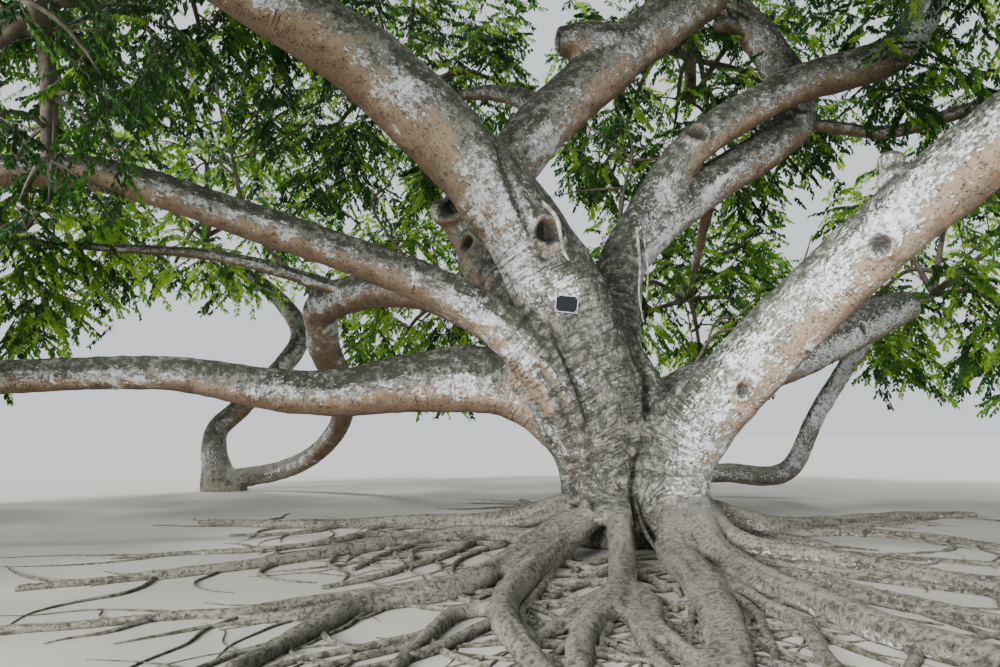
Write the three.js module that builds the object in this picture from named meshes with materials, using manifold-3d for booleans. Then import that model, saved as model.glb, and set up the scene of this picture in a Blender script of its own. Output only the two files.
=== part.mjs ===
// Weeping fig, a wide old tree: a short trunk of fused stems, long low limbs, one of them
// looping down to root again, roots that run over the ground, and a crown of hanging foliage.
// Lengths below are metres; the solids are millimetres. +Z is up, +Y is the far side.
// The origin is on the ground under the trunk.

import * as THREE from 'three';
import { mergeVertices } from 'three/addons/utils/BufferGeometryUtils.js';
import Module from 'manifold-3d';

const wasm = await Module();
wasm.setup();

const METRE = 1000;
// Clear distance between solids that touch on the tree, in millimetres
const GAP = 0.3;
const CUTTER_END = 0.6;
const TAU = 2 * Math.PI;
const GOLDEN_ANGLE = Math.PI * (3 - Math.sqrt(5));

// Sides of each kind of tube, and the length of limb that one ring of facets covers
const LIMB_SIDES = 10;
const SIDE_BOUGH_SIDES = 6;
const ROOT_SIDES = 6;
const STEM_SIDES = 6;
const TWIG_SIDES = 3;
const LIMB_RING_SPACING = 1.15;
const SIDE_BOUGH_RING_SPACING = 1.6;
const ROOT_RING_SPACING = 1.54;
const TWIG_RING_SPACING = 1.9;

// How high a root's axis lies, as a share of its radius: a little over half of it shows
const ROOT_RIDE = 0.35;
// How high a root leaves the trunk, and the share of that height kept from point to point
const ROOT_SHOULDER_HEIGHT = 0.62;
const ROOT_SETTLING = 0.2;

// Label plate on the front of the trunk, bare
const PLATE_WIDTH = 0.30;
const PLATE_HEIGHT = 0.23;
const PLATE_DEPTH = 0.10;
const PLATE_CENTRE = [-1.08, -0.90, 3.27];
const PLATE_LEAN = 0.10;

// Growth of a mass of foliage
const TWIGS_PER_MASS = 7;
const LEAF_PLACES = [0.5, 0.5, 1.0];
const TWIG_REACH = 0.62;
const TWIG_ARCH = 0.16;
const TWIG_RADIUS = 0.085;
const TWIG_TIP_RADIUS = 0.045;
const SPRAY_LENGTH = 2.9;
const SPRAY_WIDTH = 0.56;
const SPRAY_THICKNESS = 0.05;
const SPRAY_SHRINK = [1.0, 0.85, 0.7, 0.55];
const SPRAY_ROOT_DEPTH = 0.16;
const SPACE_MARGIN = 0.03;
// Largest change in millimetres when slivers are merged away, on foliage and on any solid
const FOLIAGE_MERGE = 30;
const SLIVER_MERGE = 0.05;
const LOWEST_LEAF = 1.5;

const MATERIALS = {
  bark: { color: 0x8c8177, roughness: 0.9, metalness: 0.0 },
  root_bark: { color: 0x9b8c7c, roughness: 0.92, metalness: 0.0 },
  leaves: { color: 0x4c7a2c, roughness: 0.6, metalness: 0.0 },
  plate: { color: 0x1c1e20, roughness: 0.5, metalness: 0.2 },
};

// The limbs that rise from the trunk: each station is [x, y, z, radius]. The trunk keeps
// the stations up to the collar; the bough is the rest.
const LIMBS = [
  {
    name: 'bough_high_left',
    collar: 4,
    stations: [
      [-0.43, 0.00, 0.00, 0.56], [-0.43, 0.00, 0.70, 0.45], [-0.55, -0.10, 2.03, 0.64],
      [-0.97, -0.20, 3.16, 0.68], [-1.68, -0.35, 4.51, 0.60], [-3.78, -0.90, 6.61, 0.52],
      [-5.60, -1.80, 7.52, 0.43], [-7.10, -3.10, 8.20, 0.30],
    ],
  },
  {
    name: 'bough_top',
    collar: 3,
    stations: [
      [-0.35, 0.45, 0.00, 0.50], [-0.60, 0.60, 1.60, 0.52], [-1.05, 0.70, 2.98, 0.61],
      [-1.97, 1.20, 4.18, 0.60], [-2.19, 1.60, 5.24, 0.54], [-1.37, 2.00, 6.77, 0.50],
      [0.91, 2.60, 9.03, 0.49], [2.17, 2.90, 10.18, 0.44], [2.60, 2.70, 11.60, 0.34],
    ],
  },
  {
    name: 'bough_mid_left',
    collar: 2,
    stations: [
      [-0.45, 0.00, 0.75, 0.40], [-0.92, -0.40, 1.85, 0.41], [-1.62, -0.62, 2.74, 0.36],
      [-2.51, -0.80, 3.35, 0.30], [-4.92, -1.50, 4.17, 0.24], [-6.84, -2.30, 4.63, 0.21],
      [-7.98, -3.20, 4.36, 0.16], [-8.90, -4.30, 4.30, 0.13],
    ],
  },
  {
    name: 'bough_low_left',
    collar: 2,
    stations: [
      [-0.60, 0.10, 0.45, 0.42], [-0.84, 0.10, 1.38, 0.40], [-1.58, 0.10, 2.16, 0.51],
      [-2.40, 0.10, 2.36, 0.51], [-4.55, 0.00, 2.12, 0.33], [-6.78, -0.20, 2.41, 0.25],
      [-9.67, -0.90, 2.33, 0.22], [-11.00, -1.30, 2.80, 0.17],
    ],
  },
  {
    name: 'bough_back_left',
    collar: 2,
    stations: [
      [-0.45, 0.55, 1.40, 0.46], [-1.04, 0.95, 2.54, 0.47], [-1.60, 1.45, 3.12, 0.44],
      [-3.22, 2.60, 4.07, 0.38], [-4.46, 3.60, 4.29, 0.36], [-5.64, 4.60, 4.16, 0.37],
    ],
  },
  {
    name: 'bough_right',
    collar: 3,
    stations: [
      [0.46, -0.05, 0.00, 0.54], [0.46, -0.15, 0.91, 0.49], [0.67, -0.30, 1.61, 0.58],
      [1.27, -0.60, 2.32, 0.47], [2.51, -1.50, 3.70, 0.44], [3.62, -2.90, 4.83, 0.44],
      [4.70, -4.90, 5.70, 0.37], [5.30, -7.00, 6.30, 0.28],
    ],
  },
  {
    name: 'bough_high_right',
    collar: 2,
    stations: [
      [0.10, 0.55, 0.00, 0.52], [-0.05, 0.70, 1.40, 0.48], [-0.15, 1.00, 2.70, 0.42],
      [0.11, 1.90, 4.41, 0.42], [0.62, 2.30, 5.48, 0.32], [1.51, 2.60, 6.70, 0.34],
      [3.54, 3.00, 8.07, 0.35], [5.68, 3.00, 8.87, 0.38], [6.40, 2.90, 10.10, 0.32],
    ],
  },
  {
    name: 'bough_back_right',
    collar: 2,
    stations: [
      [0.20, 0.55, 0.80, 0.46], [0.62, 1.10, 1.75, 0.46], [1.45, 2.05, 2.35, 0.45],
      [2.95, 3.60, 2.75, 0.44], [4.67, 5.00, 3.38, 0.44], [6.20, 6.00, 4.05, 0.45],
      [7.35, 6.55, 4.45, 0.38],
    ],
  },
];

// Limbs that fork from another limb, whose solid keeps the stations up to the collar
const FORKS = [
  {
    name: 'bough_zigzag_right',
    parent: 'bough_high_right',
    collar: 2,
    stations: [
      [0.11, 1.90, 4.41, 0.38], [0.90, 2.50, 5.27, 0.38], [1.98, 3.10, 6.20, 0.40],
      [3.22, 3.60, 7.07, 0.41], [3.99, 4.00, 7.89, 0.40], [3.81, 4.30, 9.16, 0.39],
      [3.05, 4.60, 10.54, 0.36], [2.75, 5.10, 11.30, 0.30],
    ],
  },
  {
    name: 'bough_thin_right',
    parent: 'bough_zigzag_right',
    collar: 0,
    stations: [
      [3.90, 4.00, 7.84, 0.14], [5.07, 4.40, 7.83, 0.13], [6.20, 4.60, 7.83, 0.15],
      [8.44, 4.20, 8.30, 0.13], [9.90, 3.50, 7.60, 0.11],
    ],
  },
  {
    name: 'bough_back_right_return',
    parent: 'bough_back_right',
    collar: 0,
    stations: [
      [6.74, 6.30, 4.20, 0.22], [6.27, 6.60, 3.56, 0.20], [5.51, 7.40, 2.06, 0.21],
      [4.88, 8.00, 0.64, 0.24], [3.48, 8.40, 0.60, 0.24], [2.20, 8.80, 0.50, 0.23],
      [1.30, 9.00, 0.12, 0.20],
    ],
  },
];

// The back-left limb bends down at its elbow, roots in the ground and rises again
const ELBOW_LIMB = {
  name: 'bough_back_left_drop',
  stations: [
    [-5.64, 4.60, 4.16, 0.37], [-5.72, 5.40, 3.43, 0.33], [-5.62, 6.50, 2.80, 0.29],
    [-5.75, 7.80, 2.00, 0.25], [-6.53, 9.20, 1.19, 0.24], [-7.75, 10.30, 0.62, 0.25],
    [-9.40, 10.95, 0.30, 0.28],
  ],
};
const REGROWTH = {
  name: 'bough_back_left_regrowth',
  stations: [
    [-9.50, 11.00, -0.40, 0.70], [-9.85, 11.00, 0.65, 0.40], [-9.93, 11.10, 1.61, 0.31],
    [-9.35, 11.30, 2.28, 0.31], [-7.84, 11.80, 4.34, 0.29], [-8.52, 12.00, 5.51, 0.24],
    [-10.30, 12.20, 6.80, 0.17],
  ],
};

// Ribs and cut stubs that stand on the trunk or on a bough and are one solid with it
const STUBS = [
  {
    parent: 'trunk',
    stations: [[-0.30, 0.60, 3.10, 0.28], [0.05, 0.40, 2.45, 0.32], [0.35, 0.20, 1.75, 0.32]],
  },
  { parent: 'trunk', stations: [[-2.02, 1.25, 3.90, 0.33], [-2.85, 1.25, 5.35, 0.27]] },
  {
    parent: 'bough_top',
    stations: [[0.28, 2.43, 8.41, 0.44], [-0.34, 2.24, 8.60, 0.38], [-0.90, 2.14, 8.55, 0.26]],
  },
  { parent: 'bough_right', stations: [[2.83, -1.92, 4.05, 0.17], [2.85, -2.00, 4.98, 0.12]] },
  { parent: 'bough_zigzag_right', stations: [[3.31, 4.46, 10.06, 0.24], [2.50, 4.20, 9.98, 0.17]] },
];

// Roots over the ground: points [x, y], outward from the trunk, and a radius at each end.
// A branch leaves its root at the given point of the root's own list.
const ROOTS = [
  {
    name: 'root_front_knee',
    radii: [0.20, 0.08],
    points: [
      [-0.55, -0.30], [-1.29, -1.59], [-1.75, -3.24], [-1.95, -4.27], [-1.89, -5.26], [-1.75, -5.99],
      [-1.59, -6.71],
    ],
    branches: [
      {
        at: 3,
        radii: [0.10, 0.05],
        points: [[-2.29, -4.49], [-2.51, -5.24], [-2.64, -5.88], [-2.71, -6.52]],
      },
    ],
  },
  {
    name: 'root_left_low',
    radii: [0.18, 0.07],
    points: [
      [-0.70, -0.20], [-1.70, -1.80], [-2.26, -3.30], [-2.71, -3.85], [-3.16, -4.20], [-3.34, -4.81],
      [-3.54, -5.54], [-3.72, -6.17],
    ],
    branches: [
      {
        at: 2,
        radii: [0.10, 0.05],
        points: [[-2.76, -3.34], [-3.21, -3.64], [-3.69, -4.01], [-4.11, -4.42], [-4.76, -4.49],
          [-5.29, -4.78], [-7.20, -5.30]],
      },
    ],
  },
  {
    name: 'root_left',
    radii: [0.18, 0.06],
    points: [
      [-0.70, 0.00], [-1.35, -0.25], [-2.12, 0.63], [-2.99, 0.44], [-3.54, -0.29], [-4.14, -1.03],
      [-4.70, -1.76], [-5.49, -2.45], [-6.80, -3.30],
    ],
    branches: [
      { at: 3, radii: [0.08, 0.04], points: [[-3.26, -0.35], [-3.47, -1.25], [-3.65, -2.15]] },
      {
        at: 2,
        radii: [0.08, 0.04],
        points: [[-2.72, -1.25], [-3.07, -2.01], [-3.36, -2.67], [-3.77, -3.24]],
      },
      {
        at: 3,
        radii: [0.09, 0.04],
        points: [[-3.81, 1.08], [-4.39, 0.16], [-5.04, -0.55], [-6.10, -0.91], [-6.83, -1.25]],
      },
    ],
  },
  {
    name: 'root_centre',
    radii: [0.18, 0.08],
    points: [
      [-0.35, -0.35], [-0.53, -1.75], [-0.73, -3.24], [-1.09, -4.51], [-1.32, -5.37], [-1.46, -6.17],
      [-1.57, -6.71],
    ],
    branches: [
      { at: 2, radii: [0.11, 0.06], points: [[-1.24, -4.18], [-1.57, -5.05], [-1.80, -5.52]] },
      {
        at: 2,
        radii: [0.11, 0.06],
        points: [[-0.61, -3.92], [-0.78, -4.99], [-0.71, -5.52], [-0.67, -6.15], [-0.65, -6.70]],
      },
      {
        at: 2,
        radii: [0.09, 0.05],
        points: [[-0.84, -4.42], [-0.94, -5.35], [-0.90, -6.07], [-0.88, -6.70]],
      },
    ],
  },
  {
    name: 'root_front_right',
    radii: [0.14, 0.07],
    points: [
      [0.35, -0.35], [0.09, -1.42], [-0.02, -3.13], [-0.18, -4.19], [-0.34, -5.13], [-0.53, -5.95],
      [-0.76, -6.71],
    ],
    branches: [],
  },
  {
    name: 'root_right',
    radii: [0.19, 0.09],
    points: [
      [0.60, -0.30], [0.24, -1.42], [0.12, -3.13], [-0.03, -4.27], [-0.21, -5.26], [-0.38, -5.99],
      [-0.58, -6.71],
    ],
    branches: [],
  },
  {
    name: 'root_right_outer',
    radii: [0.20, 0.13],
    points: [
      [0.75, -0.20], [0.64, -1.59], [0.70, -2.78], [0.78, -3.93], [0.90, -4.87], [1.11, -5.54],
      [1.34, -6.08], [1.90, -7.40],
    ],
    branches: [
      {
        at: 1,
        radii: [0.10, 0.06],
        points: [[0.36, -3.54], [0.43, -4.34], [0.46, -4.92], [0.32, -5.68], [0.11, -6.52]],
      },
      {
        at: 2,
        radii: [0.13, 0.08],
        points: [[1.22, -3.02], [1.46, -3.83], [1.79, -4.42], [2.07, -4.92], [3.00, -6.20]],
      },
    ],
  },
  {
    name: 'root_right_side',
    radii: [0.18, 0.08],
    points: [
      [0.85, 0.10], [1.06, -1.24], [1.62, -1.52], [2.22, -1.93], [2.56, -2.82], [2.93, -3.57],
      [4.70, -4.60],
    ],
    branches: [],
  },
  {
    name: 'root_back_right',
    radii: [0.22, 0.08],
    points: [[0.50, 0.45], [2.05, 0.80], [3.40, 2.00], [5.10, 3.30], [7.00, 3.90]],
    branches: [
      { at: 1, radii: [0.11, 0.05], points: [[3.30, 1.10], [4.38, 0.60], [4.84, -0.55], [6.20, -1.40]] },
    ],
  },
  {
    name: 'root_back',
    radii: [0.22, 0.08],
    points: [[0.00, 1.00], [0.25, 2.50], [-0.20, 4.40], [0.40, 6.60]],
    branches: [
      { at: 2, radii: [0.12, 0.06], points: [[-1.20, 5.70], [-1.50, 7.60]] },
    ],
  },
  {
    name: 'root_back_left',
    radii: [0.20, 0.07],
    points: [[-0.65, 0.70], [-1.90, 1.70], [-3.40, 2.20], [-5.10, 2.10], [-7.20, 2.70]],
    branches: [],
  },
];

// Crown: rings of masses round the trunk. Each ring has a radius, a height and the half
// sizes of a mass along the radius, across it and upward.
const CROWN_RINGS = {
  skirt: { radius: 13.1, height: 5.6, half: [3.9, 4.4, 3.7] },
  far_skirt: { radius: 14.6, height: 7.6, half: [3.2, 4.4, 2.9] },
  high_skirt: { radius: 12.9, height: 7.4, half: [3.7, 4.4, 2.5] },
  shoulder: { radius: 8.4, height: 9.9, half: [4.5, 4.7, 3.6] },
  top: { radius: 2.9, height: 13.0, half: [4.6, 4.9, 3.1] },
};

// Each mass: its ring, the compass angle in degrees from +X, and the bough it ends
const MASSES = [
  { name: 'foliage_skirt_right', ring: 'skirt', angle: 10, bough: 'bough_thin_right' },
  { name: 'foliage_skirt_back_right', ring: 'skirt', angle: 42, bough: 'side_bough_back_right' },
  { name: 'foliage_skirt_back_a', ring: 'skirt', angle: 74, bough: 'side_bough_back_a' },
  { name: 'foliage_skirt_back_b', ring: 'skirt', angle: 105, bough: 'side_bough_back_b' },
  { name: 'foliage_skirt_back_left', ring: 'far_skirt', angle: 134, bough: 'bough_back_left_regrowth' },
  { name: 'foliage_skirt_left_back', ring: 'skirt', angle: 165, bough: 'side_bough_left' },
  { name: 'foliage_skirt_left', ring: 'skirt', angle: 195, bough: 'bough_low_left' },
  { name: 'foliage_skirt_left_front', ring: 'skirt', angle: 225, bough: 'bough_mid_left' },
  { name: 'foliage_skirt_front', ring: 'high_skirt', angle: 259, bough: 'side_bough_front' },
  { name: 'foliage_skirt_front_right', ring: 'skirt', angle: 299, bough: 'bough_right' },
  { name: 'foliage_skirt_right_front', ring: 'skirt', angle: 335, bough: 'side_bough_right' },
  { name: 'foliage_shoulder_right', ring: 'shoulder', angle: 18, bough: 'bough_high_right' },
  { name: 'foliage_shoulder_back_right', ring: 'shoulder', angle: 70, bough: 'bough_zigzag_right' },
  { name: 'foliage_shoulder_back_left', ring: 'shoulder', angle: 124, bough: 'side_bough_upper_back' },
  { name: 'foliage_shoulder_left', ring: 'shoulder', angle: 172, bough: 'side_bough_upper_left' },
  { name: 'foliage_shoulder_left_front', ring: 'shoulder', angle: 219, bough: 'bough_high_left' },
  { name: 'foliage_shoulder_front', ring: 'shoulder', angle: 267, bough: 'side_bough_upper_front' },
  { name: 'foliage_shoulder_right_front', ring: 'shoulder', angle: 318, bough: 'side_bough_upper_right' },
  { name: 'foliage_top_right', ring: 'top', angle: 35, bough: 'bough_top' },
  { name: 'foliage_top_left', ring: 'top', angle: 215, bough: 'side_bough_top' },
];

// One small mass hangs low in front of the left limbs
const HANGING_MASS = {
  name: 'foliage_hanging_left',
  centre: [-6.70, -4.50, 5.10],
  half: [1.9, 1.7, 2.0],
  bough: 'side_bough_hanging',
};

// Side boughs: each leaves its parent at a share of the parent's length and arches to the
// edge of the mass that it feeds
const SIDE_BOUGHS = [
  { name: 'side_bough_back_right', parent: 'bough_back_right', share: 0.86, radius: 0.24, arch: 0.10 },
  { name: 'side_bough_back_a', parent: 'bough_zigzag_right', share: 0.36, radius: 0.20, arch: 0.10 },
  { name: 'side_bough_back_b', parent: 'bough_top', share: 0.50, radius: 0.22, arch: 0.14 },
  { name: 'side_bough_left', parent: 'bough_back_left', share: 0.85, radius: 0.15, arch: 0.05 },
  { name: 'side_bough_front', parent: 'bough_right', share: 0.66, radius: 0.20, arch: 0.22 },
  { name: 'side_bough_right', parent: 'bough_right', share: 0.52, radius: 0.20, arch: 0.14 },
  { name: 'side_bough_upper_back', parent: 'bough_top', share: 0.62, radius: 0.22, arch: 0.06 },
  { name: 'side_bough_upper_left', parent: 'bough_high_left', share: 0.72, radius: 0.20, arch: 0.06 },
  { name: 'side_bough_upper_front', parent: 'bough_top', share: 0.90, radius: 0.22, arch: 0.06 },
  { name: 'side_bough_upper_right', parent: 'bough_right', share: 0.80, radius: 0.18, arch: 0.05 },
  { name: 'side_bough_top', parent: 'bough_top', share: 0.82, radius: 0.22, arch: 0.05 },
  { name: 'side_bough_hanging', parent: 'bough_high_left', share: 0.84, radius: 0.11, arch: 0.05 },
];

const group = new THREE.Group();
const limbs = new Map();
// Cutters of the solids built so far, which later ones are cut clear of
const taken = [];

// A share between 0 and 1 that depends only on its two numbers
function chance(seed, index) {
  const wave = Math.sin(index * 12.9898 + seed * 78.233) * 43758.5453;
  return wave - Math.floor(wave);
}

function toVector(point) {
  return new THREE.Vector3(point[0], point[1], point[2]).multiplyScalar(METRE);
}

function mix(a, b, share) {
  return a + (b - a) * share;
}

function solidFromGeometry(geometry) {
  geometry.deleteAttribute('normal');
  geometry.deleteAttribute('uv');
  const merged = mergeVertices(geometry);
  return new wasm.Manifold(new wasm.Mesh({
    numProp: 3,
    vertProperties: new Float32Array(merged.attributes.position.array),
    triVerts: new Uint32Array(merged.index.array),
  }));
}

// Solid through a row of rings, each with the same number of points
function loft(rings) {
  const sides = rings[0].length;
  const positions = rings.flat().flatMap((point) => point.toArray());
  const faces = [];
  for (let row = 0; row < rings.length - 1; row += 1) {
    for (let side = 0; side < sides; side += 1) {
      const next = (side + 1) % sides;
      const a = row * sides + side;
      const b = row * sides + next;
      faces.push(a, b, b + sides, a, b + sides, a + sides);
    }
  }
  const last = (rings.length - 1) * sides;
  for (let side = 1; side < sides - 1; side += 1) {
    faces.push(0, side + 1, side);
    faces.push(last, last + side, last + side + 1);
  }
  const geometry = new THREE.BufferGeometry();
  geometry.setAttribute('position', new THREE.Float32BufferAttribute(positions, 3));
  geometry.setIndex(faces);
  return solidFromGeometry(geometry);
}

// Where a limb runs: evenly spaced places with a centre, two directions across and a radius
function courseOf(stations, spacing) {
  const curve = new THREE.CatmullRomCurve3(stations.map(toVector), false, 'centripetal');
  const steps = Math.max(2, Math.round(curve.getLength() / METRE / spacing));
  const frames = curve.computeFrenetFrames(steps);
  const course = [];
  for (let step = 0; step <= steps; step += 1) {
    const share = curve.getUtoTmapping(step / steps);
    const place = share * (stations.length - 1);
    const before = Math.min(Math.floor(place), stations.length - 2);
    course.push({
      centre: curve.getPoint(share),
      normal: frames.normals[step],
      binormal: frames.binormals[step],
      tangent: frames.tangents[step],
      radius: METRE * mix(stations[before][3], stations[before + 1][3], place - before),
      place,
    });
  }
  return course;
}

function ringAt(spot, sides, extraRadius, shift) {
  const ring = [];
  for (let side = 0; side < sides; side += 1) {
    const turn = (TAU * side) / sides;
    ring.push(spot.centre.clone()
      .addScaledVector(spot.tangent, shift)
      .addScaledVector(spot.normal, Math.cos(turn) * (spot.radius + extraRadius))
      .addScaledVector(spot.binormal, Math.sin(turn) * (spot.radius + extraRadius)));
  }
  return ring;
}

// Solid of a course; a cutter is wider all round and a little longer past its far end
function tube(course, sides, startShift = 0) {
  return loft(course.map((spot, index) => ringAt(spot, sides, 0, index ? 0 : startShift)));
}

function cutterTube(course, sides) {
  const last = course.length - 1;
  return loft(course.map((spot, index) => ringAt(spot, sides, GAP, index === last ? GAP * CUTTER_END : 0)));
}

function largestPiece(solid) {
  return solid.decompose().reduce((best, piece) => (piece.volume() > best.volume() ? piece : best));
}

function joined(solids) {
  return solids.reduce((whole, piece) => whole.add(piece));
}

function addNode(name, solid, materialName) {
  const mesh = largestPiece(solid).asOriginal().simplify(SLIVER_MERGE).getMesh();
  const geometry = new THREE.BufferGeometry();
  geometry.setAttribute('position', new THREE.BufferAttribute(mesh.vertProperties, 3));
  geometry.setIndex(new THREE.BufferAttribute(mesh.triVerts, 1));
  geometry.computeVertexNormals();
  const node = new THREE.Mesh(geometry, new THREE.MeshStandardMaterial(MATERIALS[materialName]));
  node.name = name;
  group.add(node);
}

// Everything above the ground
const WORLD_SIZE = 60 * METRE;
const aboveGround = solidFromGeometry(
  new THREE.BoxGeometry(WORLD_SIZE, WORLD_SIZE, WORLD_SIZE).translate(0, 0, WORLD_SIZE / 2),
);

// A limb's course split at its collar
function splitAtCollar(limb) {
  const course = courseOf(limb.stations, LIMB_RING_SPACING);
  const cut = course.findIndex((spot) => spot.place >= limb.collar);
  return { course, collar: course.slice(0, cut + 1), bough: course.slice(cut) };
}

// The ring of a root, past its shoulder, that lies nearest to one of the root's points
function ringNear(course, index) {
  const away = (spot) => Math.abs(spot.place - index);
  return course.slice(1).reduce((best, spot) => (away(spot) < away(best) ? spot : best));
}

// Each root's course: it leaves the trunk above the ground and settles on it
function rootCourses(root) {
  const last = root.points.length - 1;
  const stationAt = (point, index) => {
    const radius = mix(root.radii[0], root.radii[1], index / last);
    const height = radius * ROOT_RIDE + ROOT_SHOULDER_HEIGHT * ROOT_SETTLING ** index;
    return [point[0], point[1], height, radius];
  };
  const main = root.points.map(stationAt);
  const courses = [courseOf(main, ROOT_RING_SPACING)];
  for (const branch of root.branches) {
    const start = ringNear(courses[0], branch.at).centre;
    const count = branch.points.length;
    const stations = branch.points.map((point, index) => {
      const radius = mix(branch.radii[0], branch.radii[1], (index + 1) / count);
      return [point[0], point[1], radius * ROOT_RIDE, radius];
    });
    const first = [start.x / METRE, start.y / METRE, branch.radii[0] * ROOT_RIDE, branch.radii[0]];
    courses.push(courseOf([first, ...stations], ROOT_RING_SPACING));
  }
  return courses;
}

// Masses: centre and half sizes, with the half sizes turned to the mass's compass angle
function massSpace(mass) {
  if (mass.centre) {
    return { ...mass, centre: toVector(mass.centre), half: mass.half.map((size) => size * METRE), turn: 0 };
  }
  const ring = CROWN_RINGS[mass.ring];
  const turn = THREE.MathUtils.degToRad(mass.angle);
  return {
    ...mass,
    centre: toVector([ring.radius * Math.cos(turn), ring.radius * Math.sin(turn), ring.height]),
    half: ring.half.map((size) => size * METRE),
    turn,
  };
}

// How far out a point lies in a mass: 1 is its outer surface
function depthIn(mass, point) {
  const dx = point.x - mass.centre.x;
  const dy = point.y - mass.centre.y;
  const along = (dx * Math.cos(mass.turn) + dy * Math.sin(mass.turn)) / mass.half[0];
  const across = (dy * Math.cos(mass.turn) - dx * Math.sin(mass.turn)) / mass.half[1];
  const upward = (point.z - mass.centre.z) / mass.half[2];
  return Math.hypot(along, across, upward);
}

function pointIn(mass, along, across, upward) {
  const dx = along * mass.half[0];
  const dy = across * mass.half[1];
  return new THREE.Vector3(
    mass.centre.x + dx * Math.cos(mass.turn) - dy * Math.sin(mass.turn),
    mass.centre.y + dx * Math.sin(mass.turn) + dy * Math.cos(mass.turn),
    mass.centre.z + upward * mass.half[2],
  );
}

const masses = [...MASSES, HANGING_MASS].map(massSpace);

function keepsToSpace(mass, point) {
  const own = depthIn(mass, point);
  if (own > 1 || point.z < LOWEST_LEAF * METRE) {
    return false;
  }
  return masses.every((other) => other === mass || depthIn(other, point) > own + SPACE_MARGIN);
}

function touchesAny(solid, others) {
  return others.some((other) => !other.intersect(solid).isEmpty());
}

// Course of a side bough, from its parent's axis to the edge of its mass
function sideCourse(side) {
  const parent = limbs.get(side.parent);
  const mass = masses.find((entry) => entry.bough === side.name);
  const startSpot = parent[Math.round(side.share * (parent.length - 1))];
  const start = startSpot.centre;
  const inward = start.clone().sub(mass.centre).normalize();
  const edge = mass.centre.clone().addScaledVector(
    inward,
    0.72 / depthIn(mass, mass.centre.clone().add(inward)),
  );
  const length = start.distanceTo(edge);
  const middle = start.clone().lerp(edge, 0.5);
  middle.z += side.arch * length;
  const stations = [start, middle, edge].map((point, index) => [
    ...point.clone().divideScalar(METRE).toArray(),
    side.radius * (1 - 0.25 * index),
  ]);
  return courseOf(stations, SIDE_BOUGH_RING_SPACING);
}

// A leaf spray: a thin eight-faced blade from its root to its tip
function sprayCorners(root, direction, flat, size) {
  const length = SPRAY_LENGTH * METRE * size;
  const across = new THREE.Vector3().crossVectors(direction, flat).normalize();
  const upright = new THREE.Vector3().crossVectors(across, direction).normalize();
  const waist = root.clone().addScaledVector(direction, length * 0.45);
  const halfWidth = (length * SPRAY_WIDTH) / 2;
  const halfThickness = (length * SPRAY_THICKNESS) / 2;
  return [
    root,
    waist.clone().addScaledVector(across, halfWidth),
    waist.clone().addScaledVector(upright, halfThickness),
    waist.clone().addScaledVector(across, -halfWidth),
    waist.clone().addScaledVector(upright, -halfThickness),
    root.clone().addScaledVector(direction, length),
  ];
}

function spraySolid(corners) {
  const geometry = new THREE.BufferGeometry();
  geometry.setAttribute(
    'position',
    new THREE.Float32BufferAttribute(corners.flatMap((corner) => corner.toArray()), 3),
  );
  geometry.setIndex([
    0, 1, 2, 0, 2, 3, 0, 3, 4, 0, 4, 1,
    5, 2, 1, 5, 3, 2, 5, 4, 3, 5, 1, 4,
  ]);
  let solid = solidFromGeometry(geometry);
  if (solid.volume() < 0) {
    geometry.setIndex([...geometry.index.array].reverse());
    solid = solidFromGeometry(geometry);
  }
  return solid;
}

// Twigs of one mass: they leave its stem and arch out to points spread over its surface
function twigStations(mass, stem, seed, index) {
  const upward = 1 - (2 * (index + 0.5)) / TWIGS_PER_MASS;
  const level = Math.sqrt(1 - upward * upward);
  const turn = index * GOLDEN_ANGLE + TAU * chance(seed, 0);
  const end = pointIn(
    mass,
    level * Math.cos(turn) * TWIG_REACH,
    level * Math.sin(turn) * TWIG_REACH,
    upward * TWIG_REACH,
  );
  const place = mix(0.45, 0.95, chance(seed, index + 1));
  const start = stem[Math.round(place * (stem.length - 1))].centre;
  const middle = start.clone().lerp(end, 0.55);
  middle.z += start.distanceTo(end) * TWIG_ARCH;
  return [start, middle, end].map((point, order) => [
    ...point.clone().divideScalar(METRE).toArray(),
    mix(TWIG_RADIUS, TWIG_TIP_RADIUS, order / 2),
  ]);
}

// Sprays on one twig; one that leaves the space, or meets a limb or another twig's spray, is
// tried smaller and then skipped
function growSprays(mass, twig, seed, twigIndex, others) {
  const sprays = [];
  LEAF_PLACES.forEach((place, order) => {
    const spot = twig[Math.round(place * (twig.length - 1))];
    const side = order % 2 ? 1 : -1;
    const key = 20 + twigIndex * LEAF_PLACES.length + order;
    const level = new THREE.Vector3(-spot.tangent.y, spot.tangent.x, 0).normalize();
    const atTip = place === 1;
    const direction = spot.tangent.clone()
      .multiplyScalar(atTip ? 1.2 : 0.5)
      .addScaledVector(level, side * mix(0.5, 1.0, chance(seed, key)));
    direction.z -= mix(0.1, 0.7, chance(seed, key + 0.5));
    direction.normalize();
    const flat = new THREE.Vector3(0, 0, 1).addScaledVector(level, mix(-0.5, 0.5, chance(seed, key + 0.7)));
    const root = spot.centre.clone().addScaledVector(spot.tangent, atTip ? -SPRAY_ROOT_DEPTH * METRE : 0);
    for (const size of SPRAY_SHRINK) {
      const corners = sprayCorners(root, direction, flat, size);
      if (!corners.slice(1).every((corner) => keepsToSpace(mass, corner))) {
        continue;
      }
      const spray = spraySolid(corners);
      if (!touchesAny(spray, taken) && !touchesAny(spray, others)) {
        sprays.push(spray);
        break;
      }
    }
  });
  return sprays;
}

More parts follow.
